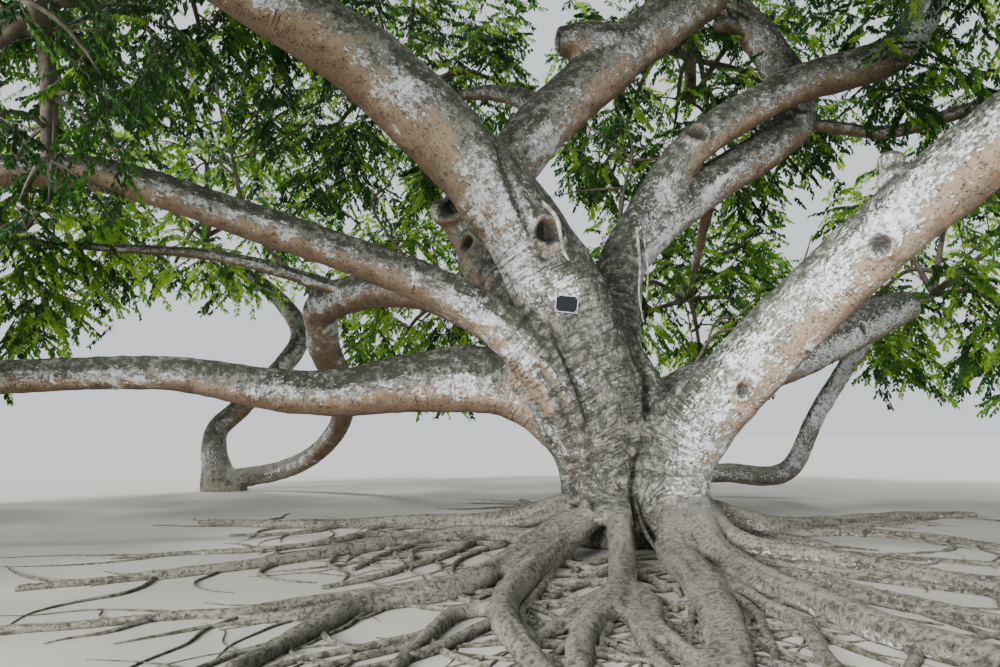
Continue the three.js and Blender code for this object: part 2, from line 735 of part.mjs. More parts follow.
function growMass(mass, seed) {
  const tip = limbs.get(mass.bough).at(-1);
  const reach = tip.centre.distanceTo(mass.centre);
  const onward = tip.centre.clone().addScaledVector(tip.tangent, reach * 0.35);
  const heart = mass.centre.clone();
  const stations = [tip.centre, onward, heart].map((point, order) => [
    ...point.clone().divideScalar(METRE).toArray(),
    (tip.radius / METRE) * (1 - 0.28 * order),
  ]);
  const stem = courseOf(stations, LIMB_RING_SPACING);
  stem[0].tangent = tip.tangent;
  stem[0].normal = tip.normal;
  stem[0].binormal = tip.binormal;
  const pieces = [tube(stem, STEM_SIDES, GAP)];
  const sprays = [];
  for (let index = 0; index < TWIGS_PER_MASS; index += 1) {
    const course = courseOf(twigStations(mass, stem, seed, index), TWIG_RING_SPACING);
    const twig = tube(course, TWIG_SIDES);
    if (course.slice(1).every((spot) => keepsToSpace(mass, spot.centre)) && !touchesAny(twig, taken)) {
      const grown = growSprays(mass, course, seed, index, sprays);
      pieces.push(twig, ...grown);
      sprays.push(...grown);
    }
  }
  const boughEnd = limbs.get(mass.bough).slice(-2);
  return joined(pieces).asOriginal().simplify(FOLIAGE_MERGE).subtract(cutterTube(boughEnd, LIMB_SIDES));
}

function clearOfTaken(solid) {
  return taken.reduce((rest, cutter) => rest.subtract(cutter), solid);
}

// Courses of the stubs that stand on one solid
function stubCourses(parent) {
  const own = STUBS.filter((stub) => stub.parent === parent);
  return own.map((stub) => courseOf(stub.stations, LIMB_RING_SPACING));
}

// Trunk: the collars of all its limbs, its stubs and the shoulders of its roots, cut flat at the ground
const split = LIMBS.map((limb) => ({ limb, ...splitAtCollar(limb) }));
const forked = FORKS.map((limb) => ({ limb, ...splitAtCollar(limb) }));
const rooted = ROOTS.map((root) => ({ root, courses: rootCourses(root) }));
const trunkWith = (shape) => joined([
  ...split.map(({ collar }) => shape(collar, LIMB_SIDES)),
  ...stubCourses('trunk').map((course) => shape(course, LIMB_SIDES)),
  ...rooted.map(({ courses }) => shape(courses[0].slice(0, 2), ROOT_SIDES)),
]);
const trunkCutter = trunkWith(cutterTube);
addNode('trunk', trunkWith(tube).intersect(aboveGround), 'bark');
taken.push(trunkCutter);

// Boughs, with their stubs and the collars of the limbs that fork from them
for (const { limb, course } of [...split, ...forked]) {
  limbs.set(limb.name, course);
}
for (const { limb, bough } of [...split, ...forked]) {
  const collars = forked
    .filter((fork) => fork.limb.parent === limb.name && fork.limb.collar > 0)
    .map((fork) => fork.collar);
  const grownOn = [...collars, ...stubCourses(limb.name)];
  const solid = joined([
    tube(bough, LIMB_SIDES, GAP),
    ...grownOn.map((course) => tube(course, LIMB_SIDES)),
  ]);
  addNode(limb.name, clearOfTaken(solid).intersect(aboveGround), 'bark');
  taken.push(joined([bough, ...grownOn].map((course) => cutterTube(course, LIMB_SIDES))));
}

// The limb past the elbow starts face to face with the elbow and ends at the rooted clump
const regrowth = courseOf(REGROWTH.stations, LIMB_RING_SPACING);
const drop = courseOf(ELBOW_LIMB.stations, LIMB_RING_SPACING);
for (const [name, course] of [[REGROWTH.name, regrowth], [ELBOW_LIMB.name, drop]]) {
  limbs.set(name, course);
  addNode(name, clearOfTaken(tube(course, LIMB_SIDES)).intersect(aboveGround), 'bark');
  taken.push(cutterTube(course, LIMB_SIDES));
}

// Side boughs
for (const side of SIDE_BOUGHS) {
  const course = sideCourse(side);
  limbs.set(side.name, course);
  addNode(side.name, clearOfTaken(tube(course, SIDE_BOUGH_SIDES)), 'bark');
  taken.push(cutterTube(course, SIDE_BOUGH_SIDES));
}

// Roots past the trunk's shoulders
for (const { root, courses } of rooted) {
  const main = courses[0].slice(1);
  const branches = courses.slice(1);
  const solid = joined([
    tube(main, ROOT_SIDES, GAP),
    ...branches.map((course) => tube(course, ROOT_SIDES)),
  ]);
  addNode(root.name, clearOfTaken(solid).intersect(aboveGround), 'root_bark');
  taken.push(joined([main, ...branches].map((course) => cutterTube(course, ROOT_SIDES))));
}

// Foliage
masses.forEach((mass, index) => {
  addNode(mass.name, growMass(mass, index + 1), 'leaves');
});

// Label plate, seated on the bark
const plate = solidFromGeometry(
  new THREE.BoxGeometry(PLATE_WIDTH * METRE, PLATE_DEPTH * METRE, PLATE_HEIGHT * METRE)
    .rotateY(PLATE_LEAN)
    .translate(...PLATE_CENTRE.map((value) => value * METRE)),
);
addNode('label_plate', plate.subtract(trunkCutter), 'plate');

export default group;
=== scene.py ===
"""Old weeping fig: bark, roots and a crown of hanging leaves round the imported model.

Lengths are metres. +Z is up, +Y is away from the photo's viewpoint, and the origin is on the
ground under the trunk. The limbs and the growth rule are those of the part's own source; here
the rule is carried on to finer twigs and leaves.
"""

import math

import bpy
import numpy as np
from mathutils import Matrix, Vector, kdtree


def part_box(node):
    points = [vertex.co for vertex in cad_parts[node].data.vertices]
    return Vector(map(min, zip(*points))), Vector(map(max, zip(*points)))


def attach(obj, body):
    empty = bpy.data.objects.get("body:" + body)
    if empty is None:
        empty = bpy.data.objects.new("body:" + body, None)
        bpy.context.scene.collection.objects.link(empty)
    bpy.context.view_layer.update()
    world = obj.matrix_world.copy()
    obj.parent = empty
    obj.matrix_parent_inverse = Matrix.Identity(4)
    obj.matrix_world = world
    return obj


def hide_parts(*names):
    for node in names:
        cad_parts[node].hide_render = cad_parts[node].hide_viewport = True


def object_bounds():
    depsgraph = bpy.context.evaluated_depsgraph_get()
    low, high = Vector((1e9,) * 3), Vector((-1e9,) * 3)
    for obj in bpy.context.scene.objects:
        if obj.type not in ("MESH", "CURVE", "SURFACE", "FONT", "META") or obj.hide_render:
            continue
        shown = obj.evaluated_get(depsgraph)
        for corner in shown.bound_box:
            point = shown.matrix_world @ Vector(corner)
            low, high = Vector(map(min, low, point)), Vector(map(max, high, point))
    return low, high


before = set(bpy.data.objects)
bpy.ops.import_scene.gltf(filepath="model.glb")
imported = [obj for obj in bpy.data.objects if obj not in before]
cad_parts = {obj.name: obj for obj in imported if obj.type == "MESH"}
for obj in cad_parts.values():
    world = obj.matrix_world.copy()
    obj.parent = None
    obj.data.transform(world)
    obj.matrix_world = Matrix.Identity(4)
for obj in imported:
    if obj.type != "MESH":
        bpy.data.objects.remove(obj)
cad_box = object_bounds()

TAU = 2 * math.pi
GOLDEN_ANGLE = math.pi * (3 - math.sqrt(5))

# Camera, worked out from the photo's horizon
CAMERA_PLACE = (-1.97, -11.50, 1.55)
CAMERA_PITCH = math.radians(7.16)
CAMERA_LENS = 28.8
CAMERA_SENSOR = 36.0

# Ring spacings of the source, which place its twigs
LIMB_RING_SPACING = 1.15
SIDE_BOUGH_RING_SPACING = 1.6

# Bark mesh
VOXEL = 0.047
TUBE_SPACING = 0.10
LIMB_SIDES = 28
ROOT_SIDES = 16
KEPT_FACES = 0.36
CURVE_SAMPLES = 401
TANGENT_STEP = 1e-4

# Smoothing of the bark: rounds and step that even it out, and rounds and step that fill its creases
EVEN_ROUNDS, EVEN_STEP = 8, 0.5
FILL_ROUNDS, FILL_STEP = 34, 0.6
ROUNDS_PER_NORMALS = 10
THIN_RADIUS = 0.05
FULL_RADIUS = 0.30
LEAST_EVENING = 0.25

# Relief of the bark: scales across and along the limb, and height, as a share of the limb's radius
SWELL_SCALE, SWELL_HEIGHT = 1.1, 0.055
FLUTE_SCALES, FLUTE_HEIGHT = (2.8, 0.4), 0.05
FOLD_SCALES, FOLD_HEIGHT = (0.8, 5.0), 0.030
FOLD_WIDEST = 0.3
FOLD_BEND_SCALE, FOLD_BEND = 1.7, 0.6
RIPPLE_SCALE, RIPPLE_METRES = 7.0, 0.006

# Profile of a crease and of a scar, over the distance in widths or radii: place, width and height; the
# darkening in their hollows is painted shade
CREASE_LIP = (2.2, 0.9, 0.25)
CREASE_SHADE = (0.6, 0.75)
SCAR_RIM = (1.0, 0.30)
SCAR_FLOOR = 0.68
SCAR_SHADE = 0.86

# Roots and rootlets; a pair is the low end and the width of a random draw
ROOT_RIDE = 0.35
ROOT_SHOULDER_HEIGHT = 0.54
ROOT_SETTLING = 0.2
ROOT_SWAY_SCALE, ROOT_SWAY = 0.9, 0.04
ROOT_HEAVE_SCALE, ROOT_HEAVE = 1.3, 0.10
ROOT_FADES = (5, 8)
ROOT_BEND_SPACING = 0.45
THIN_ROOT_TAPER = 0.7
ROOTLET_SPACING = 0.42
ROOTLET_RING = 0.13
AERIAL_RING = 0.06
THIN_LIMB_RING = 0.15
ROOTLET_STATIONS = 6
ROOTLET_TAPER = 0.16
ROOTLET_TURN = (0.35, 0.6)
ROOTLET_SHARE = (0.28, 0.25)
ROOTLET_STEP = (0.16, 0.32)
ROOTLET_BEND = 1.1

# Side boughs: how deep they reach into their mass, and how they taper
SIDE_BOUGH_END = 0.72
SIDE_BOUGH_TAPER = 0.25

# Station of each limb where the trunk ends
TRUNK_COLLARS = {
    "bough_high_left": 4, "bough_top": 3, "bough_mid_left": 2, "bough_low_left": 2, "bough_back_left": 2,
    "bough_right": 3, "bough_high_right": 2, "bough_back_right": 2,
}
# Each station is (x, y, z, radius)
LIMBS = {
    "bough_high_left": [
        (-0.43, 0, 0, 0.56), (-0.43, 0, 0.7, 0.45), (-0.55, -0.1, 2.03, 0.64),
        (-0.97, -0.2, 3.16, 0.68), (-1.68, -0.35, 4.51, 0.6), (-3.78, -0.9, 6.61, 0.52),
        (-5.6, -1.8, 7.52, 0.43), (-7.1, -3.1, 8.2, 0.3)],
    "bough_top": [
        (-0.35, 0.45, 0, 0.5), (-0.6, 0.6, 1.6, 0.52), (-1.05, 0.7, 2.98, 0.61),
        (-1.97, 1.2, 4.18, 0.6), (-2.19, 1.6, 5.24, 0.54), (-1.37, 2, 6.77, 0.5),
        (0.91, 2.6, 9.03, 0.49), (2.17, 2.9, 10.18, 0.44), (2.6, 2.7, 11.6, 0.34)],
    "bough_mid_left": [
        (-0.45, 0, 0.75, 0.4), (-0.92, -0.4, 1.85, 0.41), (-1.62, -0.62, 2.74, 0.36),
        (-2.51, -0.8, 3.35, 0.3), (-4.92, -1.5, 4.17, 0.24), (-6.84, -2.3, 4.63, 0.21),
        (-7.98, -3.2, 4.36, 0.16), (-8.9, -4.3, 4.3, 0.13)],
    "bough_low_left": [
        (-0.6, 0.1, 0.45, 0.42), (-0.84, 0.1, 1.38, 0.4), (-1.58, 0.1, 2.16, 0.51),
        (-2.4, 0.1, 2.36, 0.51), (-4.55, 0, 2.12, 0.33), (-6.78, -0.2, 2.41, 0.25),
        (-9.67, -0.9, 2.33, 0.22), (-11, -1.3, 2.8, 0.17)],
    "bough_back_left": [
        (-0.45, 0.55, 1.4, 0.46), (-1.04, 0.95, 2.54, 0.47), (-1.6, 1.45, 3.12, 0.44),
        (-3.22, 2.6, 4.07, 0.38), (-4.46, 3.6, 4.29, 0.36), (-5.64, 4.6, 4.16, 0.37)],
    "bough_right": [
        (0.46, -0.05, 0, 0.54), (0.46, -0.15, 0.91, 0.49), (0.67, -0.3, 1.61, 0.58),
        (1.27, -0.6, 2.32, 0.47), (2.51, -1.5, 3.7, 0.44), (3.62, -2.9, 4.83, 0.44),
        (4.7, -4.9, 5.7, 0.37), (5.3, -7, 6.3, 0.28)],
    "bough_high_right": [
        (0.1, 0.55, 0, 0.52), (-0.05, 0.7, 1.4, 0.48), (-0.15, 1, 2.7, 0.42), (0.11, 1.9, 4.41, 0.42),
        (0.62, 2.3, 5.48, 0.32), (1.51, 2.6, 6.7, 0.34), (3.54, 3, 8.07, 0.35), (5.68, 3, 8.87, 0.38),
        (6.4, 2.9, 10.1, 0.32)],
    "bough_back_right": [
        (0.2, 0.55, 0.8, 0.46), (0.62, 1.1, 1.75, 0.46), (1.45, 2.05, 2.35, 0.45),
        (2.95, 3.6, 2.75, 0.44), (4.67, 5, 3.38, 0.44), (6.2, 6, 4.05, 0.45), (7.35, 6.55, 4.45, 0.38)],
    "bough_zigzag_right": [
        (0.11, 1.9, 4.41, 0.38), (0.9, 2.5, 5.27, 0.38), (1.98, 3.1, 6.2, 0.4), (3.22, 3.6, 7.07, 0.41),
        (3.99, 4, 7.89, 0.4), (3.81, 4.3, 9.16, 0.39), (3.05, 4.6, 10.54, 0.36), (2.75, 5.1, 11.3, 0.3)],
    "bough_thin_right": [
        (3.9, 4, 7.84, 0.14), (5.07, 4.4, 7.83, 0.13), (6.2, 4.6, 7.83, 0.15), (8.44, 4.2, 8.3, 0.13),
        (9.9, 3.5, 7.6, 0.11)],
    "bough_back_right_return": [
        (6.74, 6.3, 4.2, 0.22), (6.27, 6.6, 3.56, 0.2), (5.51, 7.4, 2.06, 0.21), (4.88, 8, 0.64, 0.24),
        (3.48, 8.4, 0.6, 0.24), (2.2, 8.8, 0.5, 0.23), (1.3, 9, 0.12, 0.2)],
    "bough_back_left_regrowth": [
        (-9.5, 11, -0.4, 0.7), (-9.85, 11, 0.65, 0.4), (-9.93, 11.1, 1.61, 0.31),
        (-9.35, 11.3, 2.28, 0.31), (-7.84, 11.8, 4.34, 0.29), (-8.52, 12, 5.51, 0.24),
        (-10.3, 12.2, 6.8, 0.17)],
    "bough_back_left_drop": [
        (-5.64, 4.6, 4.16, 0.37), (-5.72, 5.4, 3.43, 0.33), (-5.62, 6.5, 2.8, 0.29),
        (-5.75, 7.8, 2, 0.25), (-6.53, 9.2, 1.19, 0.24), (-7.75, 10.3, 0.62, 0.25),
        (-9.4, 10.95, 0.3, 0.28)],
}

# Ribs and cut stubs: what each stands on, and its stations
STUBS = [
    ("trunk", [(-0.3, 0.6, 3.1, 0.28), (0.05, 0.4, 2.45, 0.32), (0.35, 0.2, 1.75, 0.32)]),
    ("trunk", [(-2.02, 1.25, 3.9, 0.33), (-2.85, 1.25, 5.35, 0.27)]),
    ("bough_top", [(0.28, 2.43, 8.41, 0.44), (-0.34, 2.24, 8.6, 0.38), (-0.9, 2.14, 8.55, 0.26)]),
    ("bough_right", [(2.83, -1.92, 4.05, 0.17), (2.85, -2, 4.98, 0.12)]),
    ("bough_zigzag_right", [(3.31, 4.46, 10.06, 0.24), (2.5, 4.2, 9.98, 0.17)]),
]

# Parent, share of the parent's length, radius and arch of each side bough
SIDE_BOUGHS = {
    "side_bough_back_right": ("bough_back_right", 0.86, 0.24, 0.1),
    "side_bough_back_a": ("bough_zigzag_right", 0.36, 0.2, 0.1),
    "side_bough_back_b": ("bough_top", 0.5, 0.22, 0.14),
    "side_bough_left": ("bough_back_left", 0.85, 0.15, 0.05),
    "side_bough_front": ("bough_right", 0.66, 0.2, 0.22),
    "side_bough_right": ("bough_right", 0.52, 0.2, 0.14),
    "side_bough_upper_back": ("bough_top", 0.62, 0.22, 0.06),
    "side_bough_upper_left": ("bough_high_left", 0.72, 0.2, 0.06),
    "side_bough_upper_front": ("bough_top", 0.9, 0.22, 0.06),
    "side_bough_upper_right": ("bough_right", 0.8, 0.18, 0.05),
    "side_bough_top": ("bough_top", 0.82, 0.22, 0.05),
    "side_bough_hanging": ("bough_high_left", 0.84, 0.11, 0.05),
}

# Radius at each end, points (x, y), and branches: (point that it leaves, radii, points)
ROOTS = {
    "root_front_knee": (
        (0.2, 0.08),
        [
            (-0.55, -0.3), (-1.29, -1.59), (-1.75, -3.24), (-1.95, -4.27), (-1.89, -5.26),
            (-1.75, -5.99), (-1.59, -6.71)],
        [(3, (0.1, 0.05), [(-2.29, -4.49), (-2.51, -5.24), (-2.64, -5.88), (-2.71, -6.52)])]),
    "root_left_low": (
        (0.18, 0.07),
        [
            (-0.7, -0.2), (-1.7, -1.8), (-2.26, -3.3), (-2.71, -3.85), (-3.16, -4.2), (-3.34, -4.81),
            (-3.54, -5.54), (-3.72, -6.17)],
        [(2, (0.1, 0.05), [(-2.76, -3.34), (-3.21, -3.64), (-3.69, -4.01), (-4.11, -4.42), (-4.76, -4.49),
             (-5.29, -4.78), (-7.2, -5.3)])]),
    "root_left": (
        (0.18, 0.06),
        [
            (-0.7, 0), (-1.35, -0.25), (-2.12, 0.63), (-2.99, 0.44), (-3.54, -0.29), (-4.14, -1.03),
            (-4.7, -1.76), (-5.49, -2.45), (-6.8, -3.3)],
        [(3, (0.08, 0.04), [(-3.26, -0.35), (-3.47, -1.25), (-3.65, -2.15)]),
         (2, (0.08, 0.04), [(-2.72, -1.25), (-3.07, -2.01), (-3.36, -2.67), (-3.77, -3.24)]),
         (3, (0.09, 0.04), [
             (-3.81, 1.08), (-4.39, 0.16), (-5.04, -0.55), (-6.1, -0.91), (-6.83, -1.25)])]),
    "root_centre": (
        (0.18, 0.08),
        [
            (-0.35, -0.35), (-0.53, -1.75), (-0.73, -3.24), (-1.09, -4.51), (-1.32, -5.37),
            (-1.46, -6.17), (-1.57, -6.71)],
        [(2, (0.11, 0.06), [(-1.24, -4.18), (-1.57, -5.05), (-1.8, -5.52)]),
         (2, (0.11, 0.06), [
             (-0.61, -3.92), (-0.78, -4.99), (-0.71, -5.52), (-0.67, -6.15), (-0.65, -6.7)]),
         (2, (0.09, 0.05), [(-0.84, -4.42), (-0.94, -5.35), (-0.9, -6.07), (-0.88, -6.7)])]),
    "root_front_right": (
        (0.14, 0.07),
        [
            (0.35, -0.35), (0.09, -1.42), (-0.02, -3.13), (-0.18, -4.19), (-0.34, -5.13),
            (-0.53, -5.95), (-0.76, -6.71)],
        []),
    "root_right": (
        (0.19, 0.09),
        [
            (0.6, -0.3), (0.24, -1.42), (0.12, -3.13), (-0.03, -4.27), (-0.21, -5.26), (-0.38, -5.99),
            (-0.58, -6.71)],
        []),
    "root_right_outer": (
        (0.2, 0.13),
        [
            (0.75, -0.2), (0.64, -1.59), (0.7, -2.78), (0.78, -3.93), (0.9, -4.87), (1.11, -5.54),
            (1.34, -6.08), (1.9, -7.4)],
        [(1, (0.1, 0.06), [(0.36, -3.54), (0.43, -4.34), (0.46, -4.92), (0.32, -5.68), (0.11, -6.52)]),
         (2, (0.13, 0.08), [(1.22, -3.02), (1.46, -3.83), (1.79, -4.42), (2.07, -4.92), (3, -6.2)])]),
    "root_right_side": (
        (0.18, 0.08),
        [
            (0.85, 0.1), (1.06, -1.24), (1.62, -1.52), (2.22, -1.93), (2.56, -2.82), (2.93, -3.57),
            (4.7, -4.6)],
        []),
    "root_back_right": (
        (0.22, 0.08),
        [(0.5, 0.45), (2.05, 0.8), (3.4, 2), (5.1, 3.3), (7, 3.9)],
        [(1, (0.11, 0.05), [(3.3, 1.1), (4.38, 0.6), (4.84, -0.55), (6.2, -1.4)])]),
    "root_back": (
        (0.22, 0.08),
        [(0, 1), (0.25, 2.5), (-0.2, 4.4), (0.4, 6.6)],
        [(2, (0.12, 0.06), [(-1.2, 5.7), (-1.5, 7.6)])]),
    "root_back_left": (
        (0.2, 0.07),
        [(-0.65, 0.7), (-1.9, 1.7), (-3.4, 2.2), (-5.1, 2.1), (-7.2, 2.7)],
        []),
}

# Thin roots that the source leaves out: radius at the thick end and points (x, y)
THIN_ROOTS = [
    (0.085, [(-2.2, -2.6), (-2.8, -3.4), (-3.2, -3.8), (-3.5, -4.2), (-3.9, -4.5), (-4.5, -4.4)]),
    (0.07, [(-2, -4.7), (-2.4, -5.5), (-2.8, -6.1), (-2.9, -6.5)]),
    (0.05, [(-2.4, -4.7), (-2.7, -5.3), (-3.1, -5.5), (-3.4, -5.8), (-3.6, -6.1)]),
    (0.045, [(-2.5, -5.3), (-2.8, -5.6), (-3.1, -5.9), (-3.4, -6.2)]),
    (0.075, [(-1.4, -2.2), (-1.5, -3), (-1.7, -3.9), (-1.8, -4.5), (-1.7, -5.1), (-1.5, -5.5)]),
    (0.09, [(-0.6, -2), (-0.9, -2.7), (-1.1, -3.1), (-1.4, -3.5), (-1.6, -4.2)]),
    (0.08, [(-0.9, -3.7), (-1.1, -4.3), (-1.3, -4.7), (-1.6, -5.2), (-1.8, -5.8)]),
    (0.075, [(-1.1, -4.4), (-1.3, -5), (-1.5, -5.5), (-1.7, -6.1)]),
    (0.07, [(-0.8, -3.6), (-0.8, -4.3), (-0.8, -5.1), (-0.7, -5.6), (-0.6, -6.2)]),
    (0.05, [(-0.7, -4), (-0.6, -4.8), (-0.9, -5.5), (-1, -6.1)]),
    (0.07, [(0.1, -2.9), (0, -3.4), (-0.3, -4.4), (-0.6, -5.3), (-0.8, -6.1)]),
    (0.08, [(0.2, -3.4), (0.2, -4.4), (0, -5.3), (-0.2, -6.1)]),
    (0.07, [(0.4, -4), (0.5, -4.8), (0.5, -5.3), (0.7, -5.9)]),
    (0.09, [(0.8, -3.2), (1.3, -3.8), (1.8, -4), (2.2, -4.6), (2.9, -5.2)]),
    (0.085, [(1.1, -1.5), (1.7, -2.4), (2.2, -3), (2.8, -3.6), (3.4, -4.4)]),
    (0.08, [(0.9, -0.7), (1.5, -0.9), (2.4, -0.9), (3.1, -1.3), (4.1, -1.8)]),
    (0.08, [(0.8, 0.6), (1.6, 1.3), (2.9, 1.9), (5, 2.8), (7, 4.3)]),
    (0.085, [(-0.8, 1), (-1.6, 2.4), (-3, 3), (-4.4, 2.5), (-5.1, 1.2), (-6.1, 1)]),
    (0.06, [(-2.7, 0.1), (-3.1, -0.6), (-3, -1.6), (-3, -2.2)]),
    (0.07, [(-1.9, -0.1), (-2.2, -0.6), (-2.5, -1.6), (-2.5, -2.4)]),
]

# Aerial roots, and one at the foot of the trunk: radius at each end and points
AERIAL_ROOTS = [
    (0.03, 0.014, [(0.3, 1.46, 4.95), (0.33, 1.4, 4.3), (0.27, 1.22, 3.8), (0.3, 1.05, 3.3)]),
    (0.016, 0.01, [(0.42, 1.5, 4.8), (0.46, 1.42, 4.25), (0.4, 1.3, 3.7)]),
    (0.035, 0.018, [(-1.42, -0.78, 4.75), (-1.2, -0.92, 4.45), (-1.12, -0.88, 4.05), (-1, -0.84, 3.8)]),
]
FOOT_ROOTS = [
    (0.03, 0.035, [
        (-0.14, -0.44, 0.62), (-0.1, -0.66, 0.36), (0, -1.1, 0.12), (0.07, -1.9, 0.05),
        (0.1, -2.8, 0.03), (0.13, -3.6, 0.03), (-0.05, -4.6, 0.03), (-0.3, -5.6, 0.02)]),
]

# Creases on the front of the trunk and of the limb above it: width, depth and points
CREASES = [
    (0.05, 0.1, [
        (-1.3, -0.74, 3.05), (-1.17, -0.74, 2.8), (-0.96, -0.77, 2.27), (-0.81, -0.75, 1.88),
        (-0.73, -0.64, 1.34), (-0.71, -0.52, 1.07), (-0.72, -0.65, 0.62)]),
    (0.055, 0.12, [
        (0.1, 0.1, 2.4), (0.09, 0.01, 1.82), (0.03, -0.22, 1.45), (-0.1, -0.38, 1.16),
        (-0.13, -0.44, 0.79), (-0.16, -0.45, 0.45)]),
    (0.05, 0.1, [
        (-1.45, -0.86, 2.4), (-1.33, -0.88, 2.26), (-1.09, -0.76, 1.81), (-0.98, -0.56, 1.34),
        (-0.96, -0.3, 0.95), (-0.96, -0.3, 0.6)]),
    (0.05, 0.07, [
        (-2.2, -0.8, 5.9), (-2.01, -0.8, 5.61), (-1.9, -0.95, 5.19), (-1.74, -0.95, 4.7),
        (-1.56, -0.93, 4.26), (-1.38, -0.92, 3.91)]),
]
CREASE_REACH = 0.5

# Thin limbs behind the trunk: radius at each end and points
THIN_LIMBS = [
    (0.055, 0.032, [(0.07, 2.3, 4.5), (0.35, 3.71, 5.59), (0.54, 4.21, 6.45), (0.77, 4.52, 7.23)]),
    (0.03, 0.012, [(0.75, 4.52, 7.19), (0.55, 4.68, 7.51), (0.22, 4.85, 7.81), (-0.08, 5.01, 8.1)]),
    (0.028, 0.012, [
        (0.77, 4.52, 7.23), (0.8, 4.76, 7.71), (0.65, 4.99, 8.29), (0.52, 5.22, 8.84),
        (0.18, 5.55, 9.41)]),
    (0.03, 0.012, [
        (0.77, 4.52, 7.19), (1.32, 4.91, 7.35), (1.81, 5.27, 7.68), (2.44, 5.66, 8.52),
        (2.9, 5.9, 9.09)]),
    (0.026, 0.014, [(0.52, 4.21, 6.49), (0.07, 4.31, 6.5), (-0.36, 4.51, 6.52), (-0.8, 4.71, 6.48)]),
    (0.02, 0.01, [(0.69, 4.53, 7.15), (0.4, 4.79, 7.44), (-0.03, 5.08, 7.59), (-0.53, 5.27, 7.68)]),
    (0.022, 0.01, [
        (0.77, 4.52, 7.23), (1.3, 5.05, 7.82), (1.53, 5.29, 8.32), (1.79, 5.6, 9.05),
        (2.38, 5.91, 9.81)]),
    (0.04, 0.014, [
        (1.26, 2.01, 2.6), (1.97, 2.99, 3.36), (2.63, 3.56, 3.59), (3.36, 4.11, 4.08),
        (4.26, 4.8, 4.97), (4.82, 5.5, 5.84)]),
    (0.026, 0.012, [(1.53, 2.4, 2.7), (2.03, 3.16, 3.61), (2.64, 3.84, 3.82), (3.23, 4.48, 4.32)]),
    (0.06, 0.02, [
        (-5.6, 4.5, 4.3), (-6.7, 4.1, 5.35), (-7.1, 3.9, 6.2), (-7.2, 3.6, 6.9), (-7.53, 3.83, 7.88),
        (-8.13, 4.64, 9.44), (-8.81, 5.48, 10.79)]),
    (0.028, 0.012, [(-7.25, 3.65, 7.1), (-6.99, 4.03, 7.9), (-6.86, 4.75, 8.59), (-6.75, 5.43, 9.59)]),
    (0.026, 0.012, [(-7.1, 3.8, 6.5), (-7.72, 3.53, 7.04), (-8.73, 4.25, 7.77), (-10.04, 4.8, 8.21)]),
    (0.024, 0.01, [(-7.2, 3.6, 6.9), (-6.71, 3.73, 7.12), (-6.12, 4.44, 7.85), (-5.67, 5.13, 8.76)]),
    (0.036, 0.012, [(-3.3, 2.7, 4.2), (-4.37, 3.08, 5.81), (-4.18, 3.81, 6.43), (-4.04, 4.52, 7.19)]),
]

# Rimmed scars in the bark: centre, radius of the rim, its height and the depth of the hollow
SCARS = [
    ((-1.3, -0.95, 4.3), 0.21, 0.06, 0.3),
    ((1.57, 2.33, 6.92), 0.2, 0.06, 0.1),
    ((1.21, -1.06, 2.1), 0.13, 0.04, 0.05),
    ((2.57, -2.14, 3.79), 0.16, 0.04, 0.05),
    ((2.85, -2, 4.8), 0.15, 0.05, 0.08),
    ((5.6, 5.2, 3.75), 0.16, 0.05, 0.08),
    ((-2.8, 0.95, 5.2), 0.24, 0.08, 0.2),
    ((-2.45, 0.95, 4.55), 0.16, 0.05, 0.16),
    ((-0.98, 2.1, 8.52), 0.2, 0.05, 0.1),
    ((-4.4, 3.3, 4.25), 0.17, 0.05, 0.08),
    ((4.2, 4.75, 3.3), 0.15, 0.05, 0.08),
    ((3.9, 3.7, 7.84), 0.2, 0.05, 0.12),
]

# Radius, height and half sizes (along the radius, across it, upward) of each ring of masses
CROWN_RINGS = {
    "skirt": (13.1, 5.6, (3.9, 4.4, 3.7)),
    "far_skirt": (14.6, 7.6, (3.2, 4.4, 2.9)),
    "high_skirt": (12.9, 7.4, (3.7, 4.4, 2.5)),
    "shoulder": (8.4, 9.9, (4.5, 4.7, 3.6)),
    "top": (2.9, 13, (4.6, 4.9, 3.1)),
}
MASSES = [
    ("foliage_skirt_right", "skirt", 10, "bough_thin_right"),
    ("foliage_skirt_back_right", "skirt", 42, "side_bough_back_right"),
    ("foliage_skirt_back_a", "skirt", 74, "side_bough_back_a"),
    ("foliage_skirt_back_b", "skirt", 105, "side_bough_back_b"),
    ("foliage_skirt_back_left", "far_skirt", 134, "bough_back_left_regrowth"),
    ("foliage_skirt_left_back", "skirt", 165, "side_bough_left"),
    ("foliage_skirt_left", "skirt", 195, "bough_low_left"),
    ("foliage_skirt_left_front", "skirt", 225, "bough_mid_left"),
    ("foliage_skirt_front", "high_skirt", 259, "side_bough_front"),
    ("foliage_skirt_front_right", "skirt", 299, "bough_right"),
    ("foliage_skirt_right_front", "skirt", 335, "side_bough_right"),
    ("foliage_shoulder_right", "shoulder", 18, "bough_high_right"),
    ("foliage_shoulder_back_right", "shoulder", 70, "bough_zigzag_right"),
    ("foliage_shoulder_back_left", "shoulder", 124, "side_bough_upper_back"),
    ("foliage_shoulder_left", "shoulder", 172, "side_bough_upper_left"),
    ("foliage_shoulder_left_front", "shoulder", 219, "bough_high_left"),
    ("foliage_shoulder_front", "shoulder", 267, "side_bough_upper_front"),
    ("foliage_shoulder_right_front", "shoulder", 318, "side_bough_upper_right"),
    ("foliage_top_right", "top", 35, "bough_top"), ("foliage_top_left", "top", 215, "side_bough_top")]
# Name, centre, half sizes, turn and bough
HANGING_MASS = ("foliage_hanging_left", (-6.7, -4.5, 5.1), (1.9, 1.7, 2), 0.0, "side_bough_hanging")

